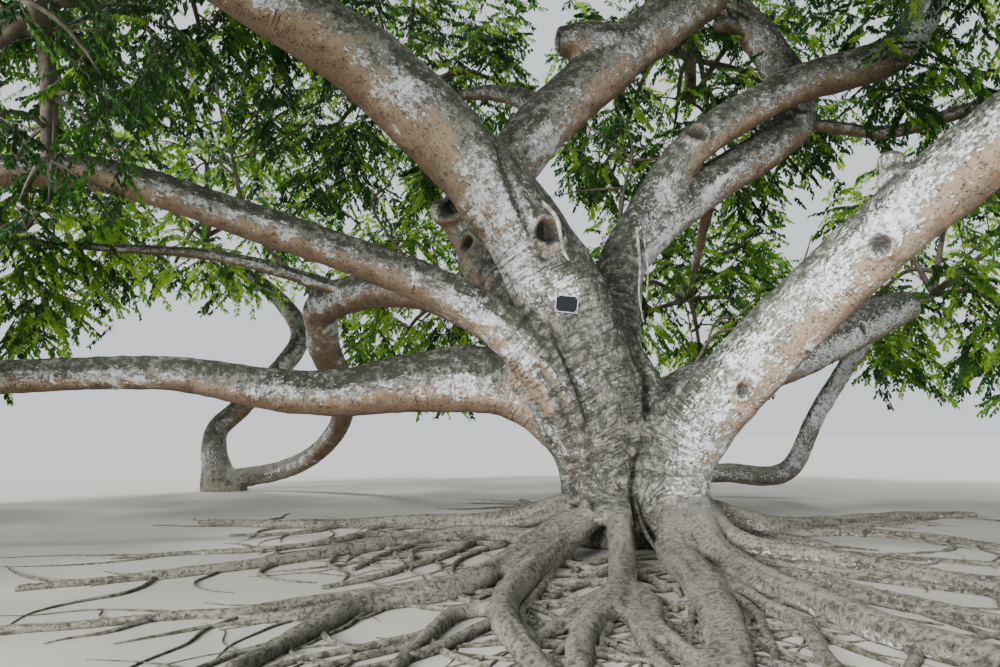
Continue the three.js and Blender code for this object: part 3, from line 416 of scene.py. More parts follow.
# Growth rule of the source
TWIGS_PER_MASS = 7
TWIG_REACH = 0.62
TWIG_ARCH = 0.16
TWIG_RADIUS = 0.085
TWIG_TIP_RADIUS = 0.045
TWIG_MIDDLE = 0.55
TWIG_PLACE = (0.45, 0.50)
STEM_ONWARD = 0.35
STEM_TAPER = 0.28
SPACE_MARGIN = 0.03

# The rule carried on: arms, branchlets on them, sprays on those, and leaves
TWIG_RING = 0.35
STEM_SIDES, TWIG_SIDES, ARM_SIDES, THIN_SIDES = 10, 5, 4, 3
ARM_STEPS, BRANCHLET_STEPS = 6, 4
HEADING_WEIGHTS = (1.35, 0.5)
ARMS_PER_MASS = 26
ARM_RADIUS = 0.034
ARM_TIP_SHARE = 0.45
ARM_DEPTH = (0.60, 0.32)
BRANCHLETS_PER_CUBIC_METRE = 0.86
BRANCHLET_REACH = 2.1
BRANCHLET_RADIUS = 0.013
BRANCHLET_TIP_SHARE = 0.4
BRANCHLET_ARCH = 0.10
BRANCHLET_DEPTH = (0.06, 0.94)
BRANCHLET_CROWDING = 0.27
SHORTEST_BRANCHLET = 0.15
BRANCHLET_CLEARANCE = 0.08
SPRAY_RADIUS = 0.006
FIRST_SPRAY = 0.7
SPRAY_ONWARD = 0.6
SPRAY_SWING = (0.3, 1.1)
SPRAY_DROOP = (0.25, 0.95)
SPRAY_SIZE = (0.65, 0.7)
SPRAY_CLEARANCE = 0.10
LOWEST_SPRAY = 1.35
LEAF_WIDTH = 0.48
LEAF_FOLD = 0.16
LEAF_WAIST = 0.42
LEAF_ONWARD = 0.5
LEAF_SPREAD = (0.45, 0.75)
LEAF_WAVE = 0.9
LEAF_DROOP = 0.75
LEAF_TILT = 0.9
LEAF_SIZE = (0.72, 0.56)
HANGING_BRANCHLETS = 3.2
HANGING_REACH = 1.3
HANGING_STEM_SHARE = 0.5

# Foliage is left out this near to the viewpoint: ahead of it, within this cosine, and all round
VIEW_CLEARANCE = 3.4
VIEW_CONE = 0.55
ROUND_CLEARANCE = 1.0

# Leaves are finer where the photo shows them near: farthest distance, sprays on a branchlet,
# spray length, leaves on a spray and leaf length
LEAF_GRADES = [
    (13.5, 14, 0.56, 30, 0.084),
    (20.0, 10, 0.62, 29, 0.106),
    (30.0, 7, 0.72, 20, 0.150),
    (math.inf, 6, 0.80, 13, 0.206),
]
HANGING_GRADES = [(math.inf, 8, 0.46, 26, 0.078)]
SHOWN_HALF_WIDTH = 0.68
SHOWN_HALF_HEIGHT = 0.47
ENDLESS = 1e6
CROWN_ROOM = 0.05
LEAF_PIECE_FACES = 190000

# Label plate
PLATE_WIDTH = 0.30
PLATE_HEIGHT = 0.23
PLATE_THICKNESS = 0.012
PLATE_STANDS_OFF = 0.015
PLATE_LEAN = 0.10
RIM_WIDTH = 0.009
RIM_DEPTH = 0.008
SCREW_SIZE = 0.012
SCREW_DEPTH = 0.0128
SCREW_PLACE = (0.84, 0.80)
POST_SHARE = 0.4

# Bark colours
BARK_GREY = (0.235, 0.228, 0.200)
BARK_SHADE = (0.105, 0.102, 0.084)
BARK_TAN = (0.330, 0.240, 0.165)
# Painted shade: a darker brown on the undersides of the limbs
BARK_UNDERSIDE_SHADE = (0.150, 0.092, 0.055)
BARK_MOSS = (0.045, 0.050, 0.036)
BARK_LICHEN = (0.800, 0.830, 0.850)
# Dark cracks and pits of the bark, also used for the painted shade in the hollows of scars and creases
BARK_CRACKS_AND_SHADE = (0.028, 0.023, 0.018)
ROOT_GREY = (0.265, 0.250, 0.205)
ROOT_DARK = (0.060, 0.056, 0.040)

# Noises of the bark: scale, detail and roughness; streaks also have a stretch across and along the limb
BARK_NOISES = [(0.8, 3), (1.7, 3), (5.0, 12, 0.76), (7.0, 10, 0.75), (19, 8, 0.72), (33, 5, 0.6)]
BARK_STREAKS = [
    ((1.0, 1.0, 0.45), (27, 5, 0.62)),
    ((9.0, 9.0, 0.9), (1.0, 5, 0.6)),
    ((1.1, 1.1, 14.0), (1.0, 5, 0.6)),
]

# Where each feature of the bark begins and where it is full, over the value that it follows
BARK_ZONES = {
    "roots": (1.05, 0.55), "trunk": (0.95, 0.55), "below the boughs": (3.7, 2.6),
    "front of the trunk": (1.0, 0.5), "wrinkles": (1.3, 0.5), "top of wrinkles": (5.4, 3.6),
    "right side": (-0.1, 0.7), "below the crown": (7.0, 5.0), "clouds": (0.48, 0.60),
    "tan": (1.04, 0.72), "underside_shade": (0.66, 0.30), "moss": (1.14, 1.42), "moss height": (0.8, 1.7),
    "gaps in moss": (0.46, 0.60), "shade": (0.42, 0.58), "mottle of roots": (0.72, 0.92),
    "foot of lichen": (0.40, 0.85), "top of lichen": (1.60, 1.20), "lichen": (1.235, 1.320),
    "spots": (1.075, 1.130), "dirt": (0.79, 0.86), "foot of dirt": (0.70, 1.0), "pits": (0.82, 0.90),
    "cracks": (0.53, 0.60),
}

# Middle and half width of the dark lines, over the noise of the folds, and the share that is darkest
CRACK_LINE = (0.50, 0.014)
CREASE_LINE = (0.46, 0.024)
LINE_CORE = 0.3
TRUNK_MIDDLE = 0.45

# Twigs and plate: noise, and the ends of its ramp; dark and pale colour; roughness
TWIG_NOISE = (9, 6, 0.65)
TWIG_SHADES = (0.35, 0.65)
TWIG_COLOURS = ((0.060, 0.048, 0.034), (0.150, 0.125, 0.095))
AERIAL_COLOURS = ((0.14, 0.12, 0.10), (0.44, 0.42, 0.38))
PLATE_NOISE = (24, 5)
PLATE_FADE = (0.7, 0.006)
PANEL_COLOUR, PANEL_ROUGHNESS = (0.010, 0.012, 0.016), 0.55
RIM_COLOUR, RIM_ROUGHNESS = (0.50, 0.52, 0.54), 0.5
FLOOR_COLOUR = (0.38, 0.36, 0.33)
SKY_COLOUR = (0.90, 0.95, 1.0)

# Leaf colours, dark to bright: face and the light that comes through; the darkest stand for leaves in
# shade and the brightest for sunlit ones, as painted shade and painted sunlight
LEAF_COLOURS = [
    ("leaf_deep", (0.008, 0.032, 0.008), (0.03, 0.11, 0.012)),
    ("leaf_green", (0.015, 0.060, 0.010), (0.08, 0.26, 0.016)),
    ("leaf_mid", (0.030, 0.105, 0.013), (0.20, 0.48, 0.028)),
    ("leaf_bright", (0.070, 0.190, 0.020), (0.42, 0.74, 0.045)),
    ("leaf_new", (0.140, 0.280, 0.030), (0.66, 0.90, 0.080)),
]

# Shares of the leaf colours, dark to bright, in each ring of masses, dealt at random by spray: as painted
# shade the shoulders, the top and the hanging mass are mostly dark, and as painted sunlight the skirts
# are brighter
LEAF_LIGHT_AND_SHADE_SHARES = {
    "skirt": (0.24, 0.18, 0.18, 0.22, 0.18),
    "shoulder": (0.46, 0.24, 0.13, 0.10, 0.07),
    "top": (0.32, 0.32, 0.22, 0.10, 0.04),
    "hanging": (0.62, 0.26, 0.10, 0.02, 0.0),
}


def chance(seed, index):
    """A share between 0 and 1 that depends only on its two numbers; either may be an array.

    Where it is called, what is added to the seed or index only keeps one draw apart from another.
    """
    wave = np.sin(index * 12.9898 + seed * 78.233) * 43758.5453
    return wave - np.floor(wave)


def draw(low_and_width, seed, index):
    """A random number from low to low plus width."""
    low, width = low_and_width
    return low + width * chance(seed, index)


def unit(vectors):
    return vectors / np.maximum(np.linalg.norm(vectors, axis=-1, keepdims=True), 1e-9)


# Courses


def on_curve(points, shares):
    """Points on the centripetal curve through points, at shares from 0 to 1."""
    last = len(points) - 1
    place = np.asarray(shares) * last
    before = np.minimum(place.astype(int), last - 1)
    w = (place - before)[:, None]
    padded = np.vstack([2 * points[0] - points[1], points, 2 * points[-1] - points[-2]])
    p0, p1, p2, p3 = (padded[before + step] for step in range(4))
    d0, d1, d2 = (
        np.maximum(np.sum((b - a) ** 2, axis=1), 1e-12)[:, None] ** 0.25
        for a, b in ((p0, p1), (p1, p2), (p2, p3)))
    leave = d1 * ((p1 - p0) / d0 - (p2 - p0) / (d0 + d1) + (p2 - p1) / d1)
    reach = d1 * ((p2 - p1) / d1 - (p3 - p1) / (d1 + d2) + (p3 - p2) / d2)
    square = -3 * p1 + 3 * p2 - 2 * leave - reach
    cube = 2 * p1 - 2 * p2 + leave + reach
    return p1 + leave * w + square * w ** 2 + cube * w ** 3


class Course:
    """Evenly spaced places along a limb: centre, tangent, two directions across and radius."""

    def __init__(self, stations, spacing):
        stations = np.array(stations, dtype=float)
        fine = np.linspace(0, 1, CURVE_SAMPLES)
        points = on_curve(stations[:, :3], fine)
        reach = np.concatenate([[0], np.cumsum(np.linalg.norm(np.diff(points, axis=0), axis=1))])
        steps = max(2, int(reach[-1] / spacing + 0.5))
        shares = np.interp(np.linspace(0, reach[-1], steps + 1), reach, fine)
        self.length = reach[-1]
        self.centre = on_curve(stations[:, :3], shares)
        ahead = on_curve(stations[:, :3], np.minimum(shares + TANGENT_STEP, 1))
        behind = on_curve(stations[:, :3], np.maximum(shares - TANGENT_STEP, 0))
        self.tangent = unit(ahead - behind)
        self.radius = np.interp(shares * (len(stations) - 1), np.arange(len(stations)), stations[:, 3])
        self.normal = np.empty_like(self.centre)
        lead = np.eye(3)[np.argmin(np.abs(self.tangent[0]))]
        for index, tangent in enumerate(self.tangent):
            lead = unit(lead - tangent * np.dot(lead, tangent))
            self.normal[index] = lead
        self.binormal = np.cross(self.tangent, self.normal)

    def ring(self, index, sides):
        turn = TAU * np.arange(sides)[:, None] / sides
        return self.centre[index] + self.radius[index] * (
            np.cos(turn) * self.normal[index] + np.sin(turn) * self.binormal[index])


def tube_arrays(rings):
    """Closed mesh through rings of equal size, with a point at each end."""
    count, sides = len(rings), len(rings[0])
    points = np.vstack([np.vstack(rings), rings[0].mean(axis=0), rings[-1].mean(axis=0)])
    row = np.arange(count - 1)[:, None] * sides
    side = np.arange(sides)[None, :]
    a = (row + side).ravel()
    b = (row + (side + 1) % sides).ravel()
    walls = np.concatenate([np.stack([a, b, b + sides], 1), np.stack([a, b + sides, a + sides], 1)])
    first = np.arange(sides)
    after = (first + 1) % sides
    start = np.full(sides, count * sides)
    end_ring = (count - 1) * sides
    caps = np.concatenate([
        np.stack([start, after, first], 1),
        np.stack([start + 1, end_ring + first, end_ring + after], 1)])
    return points, np.concatenate([walls, caps])


def tube_of(course, sides):
    return tube_arrays([course.ring(index, sides) for index in range(len(course.centre))])


def merged(parts):
    """Several (points, triangles) as one."""
    points, faces, offset = [], [], 0
    for part_points, part_faces in parts:
        points.append(part_points)
        faces.append(part_faces + offset)
        offset += len(part_points)
    return np.vstack(points), np.vstack(faces)


def new_object(name, points, faces, materials, choice=None, smooth=True):
    mesh = bpy.data.meshes.new(name)
    mesh.vertices.add(len(points))
    mesh.vertices.foreach_set("co", np.ascontiguousarray(points, dtype=np.float32).ravel())
    mesh.loops.add(faces.size)
    mesh.loops.foreach_set("vertex_index", np.ascontiguousarray(faces, dtype=np.int32).ravel())
    mesh.polygons.add(len(faces))
    corners = faces.shape[1]
    mesh.polygons.foreach_set("loop_start", np.arange(0, faces.size, corners, dtype=np.int32))
    for material in materials:
        mesh.materials.append(material)
    if choice is not None:
        mesh.polygons.foreach_set("material_index", np.asarray(choice, dtype=np.int32))
    mesh.update(calc_edges=True)
    mesh.polygons.foreach_set("use_smooth", np.full(len(faces), smooth))
    made = bpy.data.objects.new(name, mesh)
    bpy.context.scene.collection.objects.link(made)
    return made


def add_layer(made, name, kind, field, values):
    """Keeps a value at each point of an object's mesh."""
    layer = made.data.attributes.new(name, kind, "POINT")
    layer.data.foreach_set(field, np.ascontiguousarray(values, dtype=np.float32).ravel())


def read_vectors(rows, field):
    values = np.empty(len(rows) * 3, dtype=np.float32)
    rows.foreach_get(field, values)
    return values.reshape(-1, 3).astype(float)


def modified(points, faces, corners, kind, **settings):
    """Points, faces of so many corners, and normals of what one modifier makes of a mesh."""
    source = new_object("source", points, faces, [])
    modifier = source.modifiers.new(kind, kind)
    for key, value in settings.items():
        setattr(modifier, key, value)
    mesh = bpy.data.meshes.new_from_object(source.evaluated_get(bpy.context.evaluated_depsgraph_get()))
    bpy.data.objects.remove(source)
    made_faces = np.empty(len(mesh.loops), dtype=np.int32)
    mesh.loops.foreach_get("vertex_index", made_faces)
    made_points, normals = read_vectors(mesh.vertices, "co"), read_vectors(mesh.vertex_normals, "vector")
    bpy.data.meshes.remove(mesh)
    return made_points, made_faces.reshape(-1, corners), normals


# Noise for shapes

AXIS_PRIMES = np.array([73856093, 19349663, 83492791])
SEED_PRIME = 2654435761
MIXING_PRIME = 1274126177


def lattice(points, seed):
    """Smooth value noise from -1 to 1 at each point."""
    base = np.floor(points).astype(np.int64)
    part = points - base
    part = part * part * (3 - 2 * part)
    total = np.zeros(len(points))
    for corner in range(8):
        step = np.array([corner & 1, corner >> 1 & 1, corner >> 2 & 1])
        key = np.bitwise_xor.reduce((base + step) * AXIS_PRIMES, axis=1) ^ (seed * SEED_PRIME)
        key = (key ^ (key >> 13)) * MIXING_PRIME & 0xFFFFFFFF
        value = ((key ^ (key >> 16)) & 0xFFFF) / 32767.5 - 1
        weight = np.prod(np.where(step, part, 1 - part), axis=1)
        total += value * weight
    return total


def rough(points, seed, octaves):
    total = np.zeros(len(points))
    for octave in range(octaves):
        total += lattice(points * 2 ** octave, seed + octave) / 2 ** octave
    return total


# Materials


def new_material(name, roughness):
    made = bpy.data.materials.new(name)
    made.use_nodes = True
    shader = made.node_tree.nodes["Principled BSDF"]
    shader.inputs["Roughness"].default_value = roughness
    return made, made.node_tree, shader


def feed(tree, socket, value):
    """Sets a socket to a number or a colour, or links it to another node's output."""
    if isinstance(value, (int, float)):
        socket.default_value = value
    elif isinstance(value, tuple):
        socket.default_value = (*value, 1)
    else:
        tree.links.new(value, socket)


def object_place(tree):
    return tree.nodes.new("ShaderNodeTexCoord").outputs["Object"]


def add_noise(tree, vector, scale, detail, grit=0.5):
    node = tree.nodes.new("ShaderNodeTexNoise")
    node.inputs["Scale"].default_value = scale
    node.inputs["Detail"].default_value = detail
    node.inputs["Roughness"].default_value = grit
    tree.links.new(vector, node.inputs["Vector"])
    return node.outputs["Fac"]


def add_ramp(tree, value, low, high):
    """0 below low, 1 above high."""
    node = tree.nodes.new("ShaderNodeMapRange")
    node.interpolation_type = "SMOOTHSTEP"
    node.inputs["From Min"].default_value = low
    node.inputs["From Max"].default_value = high
    tree.links.new(value, node.inputs["Value"])
    return node.outputs["Result"]


def add_math(tree, operation, first, second):
    node = tree.nodes.new("ShaderNodeMath")
    node.operation = operation
    feed(tree, node.inputs[0], first)
    feed(tree, node.inputs[1], second)
    return node.outputs["Value"]


def add_mix(tree, factor, first, second):
    node = tree.nodes.new("ShaderNodeMix")
    node.data_type = "RGBA"
    feed(tree, node.inputs["Factor"], factor)
    feed(tree, node.inputs["A"], first)
    feed(tree, node.inputs["B"], second)
    return node.outputs["Result"]


def add_place(tree, scales):
    """The bark's own coordinates (across, across, along the limb), each times its scale."""
    source = tree.nodes.new("ShaderNodeAttribute")
    source.attribute_name = "bark_place"
    scale = tree.nodes.new("ShaderNodeVectorMath")
    scale.operation = "MULTIPLY"
    scale.inputs[1].default_value = scales
    tree.links.new(source.outputs["Vector"], scale.inputs[0])
    return scale.outputs["Vector"]


def add_split(tree, vector):
    node = tree.nodes.new("ShaderNodeSeparateXYZ")
    tree.links.new(vector, node.inputs[0])
    return node.outputs


def add_sum(tree, *terms):
    """Sum of (value, weight) terms."""
    total = None
    for value, weight in terms:
        term = add_math(tree, "MULTIPLY", value, weight)
        total = term if total is None else add_math(tree, "ADD", total, term)
    return total


def add_line(tree, value, middle, width):
    """1 on a thin line where the value is at its middle."""
    away = add_math(tree, "ABSOLUTE", add_math(tree, "SUBTRACT", value, middle), 0.0)
    return add_ramp(tree, away, width, width * LINE_CORE)


def bark_material():
    """Grey bark: moss on top, ragged pale lichen below it, tan undersides darkened by painted shade,
    wrinkles round the trunk, painted shade in the hollows of scars and creases.
    """
    made, tree, shader = new_material("fig_bark", 0.88)
    place = object_place(tree)
    normal = tree.nodes.new("ShaderNodeNewGeometry").outputs["Normal"]
    # Painted shade in the hollows of scars and creases
    hollow_shade = tree.nodes.new("ShaderNodeAttribute")
    hollow_shade.attribute_name = "bark_wear"
    upward = add_split(tree, normal)[2]
    x, y, height = add_split(tree, place)
    broad, other, blotch, stain, grain, pitting = (add_noise(tree, place, *row) for row in BARK_NOISES)
    flecks, streaks, folds = (
        add_noise(tree, add_place(tree, stretch), *row) for stretch, row in BARK_STREAKS)

    def zone(name, *terms):
        return add_ramp(tree, add_sum(tree, *terms), *BARK_ZONES[name])

    def both(first, second):
        return add_math(tree, "MULTIPLY", first, second)

    def paint(under, colour, amount, weight):
        return add_mix(tree, add_sum(tree, (amount, weight)), under, colour)

    aside = add_math(tree, "ADD", x, TRUNK_MIDDLE)
    away = add_math(tree, "SQRT", add_sum(tree, (both(aside, aside), 1.0), (both(y, y), 1.0)), 0.0)
    low = zone("roots", (height, 1.0), (blotch, 0.5))
    trunk = both(zone("trunk", (away, 1.0), (height, -0.22)), zone("below the boughs", (height, 1.0)))
    trunk = both(trunk, zone("front of the trunk", (y, 1.0)))
    wrinkled = both(zone("wrinkles", (away, 1.0), (height, -0.35)),
                    zone("top of wrinkles", (height, 1.0)))
    right = both(zone("right side", (x, 1.0)), zone("below the crown", (height, 1.0)))

    side = add_sum(tree, (upward, 1.0), (blotch, 1.4), (broad, 0.9))
    bare = ((side, 1.0), (trunk, 0.32), (right, 0.20))
    clouds = zone("clouds", (stain, 0.6), (streaks, 0.4))
    tan = both(zone("tan", *bare), add_sum(tree, (clouds, -0.45), (1.0, 0.92)))
    # Painted shade: the undersides darken towards brown, less on the trunk and on the right
    underside_shade = zone("underside_shade", *bare)
    moss = add_math(tree, "MAXIMUM", both(zone("moss", (side, 1.0)), zone("moss height", (height, 1.0))),
                    add_sum(tree, (trunk, 0.70)))
    moss = both(moss, zone("gaps in moss", (stain, 1.0), (moss, 0.08)))
    mottle = add_sum(tree, (streaks, 0.5), (grain, 0.6), (stain, 0.6))
    colour = add_mix(tree, zone("shade", (grain, 0.6), (stain, 0.4)), BARK_GREY, BARK_SHADE)
    colour = paint(colour, BARK_TAN, tan, 1.0)
    colour = paint(colour, BARK_UNDERSIDE_SHADE, underside_shade, 0.75)
    root_colour = add_mix(tree, zone("mottle of roots", (mottle, 1.0)), ROOT_DARK, ROOT_GREY)
    colour = paint(colour, root_colour, low, 1.0)
    colour = paint(colour, BARK_MOSS, moss, 0.90)

    band = both(zone("foot of lichen", (side, 1.0)), zone("top of lichen", (side, 1.0)))
    density = add_sum(tree, (broad, 0.35), (other, 0.36), (band, 0.15), (underside_shade, -0.06), (low, -0.13),
                      (trunk, -0.10), (right, 0.03))
    patch = zone("lichen", (blotch, 1.0), (grain, 0.45), (density, 1.0))
    spots = zone("spots", (flecks, 1.0), (stain, 0.30), (density, 0.75), (right, 0.05))
    pale = add_math(tree, "MAXIMUM", add_sum(tree, (patch, 0.78)), add_sum(tree, (spots, 0.80)))
    colour = paint(colour, BARK_LICHEN, pale, 1.0)
    dirt = both(zone("dirt", (stain, 1.0), (flecks, 0.5)), zone("foot of dirt", (side, 1.0)))
    colour = paint(colour, BARK_MOSS, dirt, 0.60)
    pits = zone("pits", (pitting, 1.0), (stain, 0.5))
    cracks = both(add_line(tree, folds, *CRACK_LINE), zone("cracks", (other, 1.0), (low, -0.5)))
    creases = both(add_line(tree, folds, *CREASE_LINE), wrinkled)
    lines = add_math(tree, "MAXIMUM", cracks, creases)
    # Pits and dark lines are the bark's own cracks; the hollows of scars and creases get painted shade
    for amount, weight in ((pits, 0.75), (lines, 0.75), (hollow_shade.outputs["Fac"], 0.95)):
        colour = paint(colour, BARK_CRACKS_AND_SHADE, amount, weight)
    tree.links.new(colour, shader.inputs["Base Color"])
    shader.inputs["Specular IOR Level"].default_value = 0.25

    ridges = both(folds, add_sum(tree, (wrinkled, 1.3), (low, -0.3), (blotch, 0.6)))
    raised = add_sum(tree, (blotch, 0.8), (grain, 0.7), (pale, 0.15), (pits, -0.25), (lines, -0.6),
                     (ridges, 1.0), (both(mottle, low), 1.6))
    bump = tree.nodes.new("ShaderNodeBump")
    bump.inputs["Strength"].default_value = 0.85
    bump.inputs["Distance"].default_value = 0.045
    tree.links.new(raised, bump.inputs["Height"])
    tree.links.new(bump.outputs["Normal"], shader.inputs["Normal"])
    return made


def leaf_material(name, colour, glow):
    """A thin waxy leaf: gloss above and light coming through it."""
    made, tree, shader = new_material(name, 0.42)
    shader.inputs["Base Color"].default_value = (*colour, 1)
    shader.inputs["Specular IOR Level"].default_value = 0.45
    through = tree.nodes.new("ShaderNodeBsdfTranslucent")
    through.inputs["Color"].default_value = (*glow, 1)
    both = tree.nodes.new("ShaderNodeMixShader")
    both.inputs["Fac"].default_value = 0.42
    tree.links.new(shader.outputs["BSDF"], both.inputs[1])
    tree.links.new(through.outputs["BSDF"], both.inputs[2])
    tree.links.new(both.outputs["Shader"], tree.nodes["Material Output"].inputs["Surface"])
    return made


def twig_material(name, dark, pale):
    """Thin bark, mottled between two colours."""
    made, tree, shader = new_material(name, 0.85)
    place = object_place(tree)
    shade = add_ramp(tree, add_noise(tree, place, *TWIG_NOISE), *TWIG_SHADES)
    tree.links.new(add_mix(tree, shade, dark, pale), shader.inputs["Base Color"])
    return made


def plate_material(name, colour, roughness):
    """Weathered paint: a little darker and rougher in patches."""
    made, tree, shader = new_material(name, roughness)
    place = object_place(tree)
    worn = add_noise(tree, place, *PLATE_NOISE)
    faded = tuple(PLATE_FADE[0] * value + PLATE_FADE[1] for value in colour)
    tree.links.new(add_mix(tree, worn, faded, colour), shader.inputs["Base Color"])
    tree.links.new(add_sum(tree, (worn, 0.5), (1.0, roughness - 0.2)), shader.inputs["Roughness"])
    shader.inputs["Specular IOR Level"].default_value = 0.04
    return made


BARK = bark_material()
PLATE_DARK = plate_material("plate_dark", PANEL_COLOUR, PANEL_ROUGHNESS)
PLATE_PALE = plate_material("plate_pale", RIM_COLOUR, RIM_ROUGHNESS)
TWIG_BARK = twig_material("twig_bark", *TWIG_COLOURS)
PALE_BARK = twig_material("aerial_bark", *AERIAL_COLOURS)
LEAVES = [leaf_material(name, colour, glow) for name, colour, glow in LEAF_COLOURS]

# Masses and limbs as the source has them


class Mass:
    """An ellipsoid of the crown, turned about the vertical, and the bough that carries it."""

    def __init__(self, name, centre, half, turn, bough):
        self.name = name
        self.centre = np.array(centre, dtype=float)
        self.half = np.array(half, dtype=float)
        self.cosine, self.sine = math.cos(turn), math.sin(turn)
        self.bough = bough

    def depth(self, points):
        """How far out points lie: 1 is the mass's outer surface."""
        d = points - self.centre
        along = (d[..., 0] * self.cosine + d[..., 1] * self.sine) / self.half[0]
        across = (d[..., 1] * self.cosine - d[..., 0] * self.sine) / self.half[1]
        upward = d[..., 2] / self.half[2]
        return np.sqrt(along ** 2 + across ** 2 + upward ** 2)

    def point(self, shares):
        d = np.asarray(shares) * self.half
        return self.centre + np.stack([
            d[..., 0] * self.cosine - d[..., 1] * self.sine,
            d[..., 0] * self.sine + d[..., 1] * self.cosine,
            d[..., 2]], axis=-1)


def ring_mass(name, ring, angle, bough):
    radius, height, half = CROWN_RINGS[ring]
    turn = math.radians(angle)
    return Mass(name, (radius * math.cos(turn), radius * math.sin(turn), height), half, turn, bough)


masses = [ring_mass(*row) for row in MASSES] + [Mass(*HANGING_MASS)]
limb_stations = dict(LIMBS)
source_courses = {name: Course(rows, LIMB_RING_SPACING) for name, rows in LIMBS.items()}


def side_stations(name):
    """Stations of a side bough, from its parent into its mass."""
    parent_name, share, radius, arch = SIDE_BOUGHS[name]
    parent = source_courses[parent_name]
    mass = next(entry for entry in masses if entry.bough == name)
    start = parent.centre[int(share * (len(parent.centre) - 1) + 0.5)]
    inward = unit(start - mass.centre)
    edge = mass.centre + inward * SIDE_BOUGH_END / mass.depth(mass.centre + inward)
    middle = (start + edge) / 2
    middle[2] += arch * np.linalg.norm(edge - start)
    return [(*point, radius * (1 - SIDE_BOUGH_TAPER * order))
            for order, point in enumerate((start, middle, edge))]


for side_name in SIDE_BOUGHS:
    limb_stations[side_name] = side_stations(side_name)
    source_courses[side_name] = Course(limb_stations[side_name], SIDE_BOUGH_RING_SPACING)

fine_courses = {name: Course(rows, TUBE_SPACING) for name, rows in limb_stations.items()}


def root_stations(radii, points, branches):
    """Stations of a root, which comes down from the trunk to the ground, and of its branches."""
    last = len(points) - 1
    main = []
    for index, (x, y) in enumerate(points):
        radius = radii[0] + (radii[1] - radii[0]) * index / last
        main.append((x, y, radius * ROOT_RIDE + ROOT_SHOULDER_HEIGHT * ROOT_SETTLING ** index, radius))
    rows = [main]
    for at, sizes, places in branches:
        row = [(main[at][0], main[at][1], sizes[0] * ROOT_RIDE, sizes[0])]
        for index, (x, y) in enumerate(places):
            radius = sizes[0] + (sizes[1] - sizes[0]) * (index + 1) / len(places)
            row.append((x, y, radius * ROOT_RIDE, radius))
        rows.append(row)
    return rows


# Bark


def directed_edges(quads):
    """Each neighbour of each corner, once: a closed mesh has every edge in both directions."""
    return quads.ravel(), np.roll(quads, -1, axis=1).ravel()


def corner_normals(points, quads):
    face = np.cross(points[quads[:, 2]] - points[quads[:, 0]], points[quads[:, 3]] - points[quads[:, 1]])
    corners = quads.ravel()
    weight = np.repeat(face, 4, axis=0)
    return unit(np.stack([np.bincount(corners, weight[:, axis], len(points)) for axis in range(3)], 1))


def flow_together(points, quads, weight):
    """Evens out the voxels' edges, then fills the creases where limbs meet."""
    here, there = directed_edges(quads)
    count = len(points)
    valence = np.maximum(np.bincount(here, minlength=count), 1)[:, None]

    def pull(places):
        total = np.stack([np.bincount(here, places[there, axis], count) for axis in range(3)], 1)
        return total / valence - places

    for _ in range(EVEN_ROUNDS):
        points = points + pull(points) * EVEN_STEP * weight
    for turn in range(FILL_ROUNDS):
        if turn % ROUNDS_PER_NORMALS == 0:
            normals = corner_normals(points, quads)
        outward = np.sum(pull(points) * normals, axis=1, keepdims=True)
        points = points + normals * np.maximum(outward, 0) * FILL_STEP
    return points


class LimbMap:
    """Tells which limb a point of the bark lies on, and where on it."""

    def __init__(self, courses):
        self.centres, self.tangents, self.normals, self.binormals = (
            np.vstack([getattr(course, part) for course in courses])
            for part in ("centre", "tangent", "normal", "binormal"))
        self.radii = np.concatenate([course.radius for course in courses])
        self.owners = np.concatenate([np.full(len(course.centre), n) for n, course in enumerate(courses)])
        self.along = np.concatenate(
            [np.linspace(0, course.length, len(course.centre)) for course in courses])
        self.tree = kdtree.KDTree(len(self.centres))
        for index, centre in enumerate(self.centres):
            self.tree.insert(centre, index)
        self.tree.balance()

    def locate(self, points):
        """Owner, place (across, across, along) and limb radius for each point."""
        nearest = np.array([self.tree.find(point)[1] for point in points])
        offset = points - self.centres[nearest]
        beyond = np.sum(offset * self.tangents[nearest], axis=1)
        across = offset - self.tangents[nearest] * beyond[:, None]
        place = np.stack([
            np.sum(across * self.normals[nearest], axis=1),
            np.sum(across * self.binormals[nearest], axis=1),
            self.along[nearest] + beyond], axis=1)
        return self.owners[nearest], place, self.radii[nearest]


def relief(points, place, radius):
    """Height of the bark over the smooth limb: swellings, flutes along it and folds across it."""
    def stretched(bend, scales):
        across, along = scales
        return np.stack([place[:, 0] * across, place[:, 1] * across, (place[:, 2] + bend) * along], 1)

    swell = rough(points * SWELL_SCALE, 3, 3) * SWELL_HEIGHT * radius
    flutes = lattice(stretched(0.0, FLUTE_SCALES), 11) * FLUTE_HEIGHT * radius
    bend = lattice(points * FOLD_BEND_SCALE, 21) * FOLD_BEND
    folds = lattice(stretched(bend, FOLD_SCALES), 31) * FOLD_HEIGHT * np.minimum(radius, FOLD_WIDEST)
    return swell + flutes + folds + rough(points * RIPPLE_SCALE, 41, 2) * RIPPLE_METRES


def crease_distance(points, path):
    """Distance to a path as seen from the front; large for points far behind or before it."""
    nearest = np.full(len(points), ENDLESS)
    for start, end in zip(path[:-1], path[1:]):
        course = np.array(end) - start
        offset = points - start
        share = np.clip((offset @ course) / (course @ course), 0, 1)[:, None]
        away = offset - share * course
        seen = np.where(np.abs(away[:, 1]) < CREASE_REACH, np.hypot(away[:, 0], away[:, 2]), ENDLESS)
        nearest = np.minimum(nearest, seen)
    return nearest


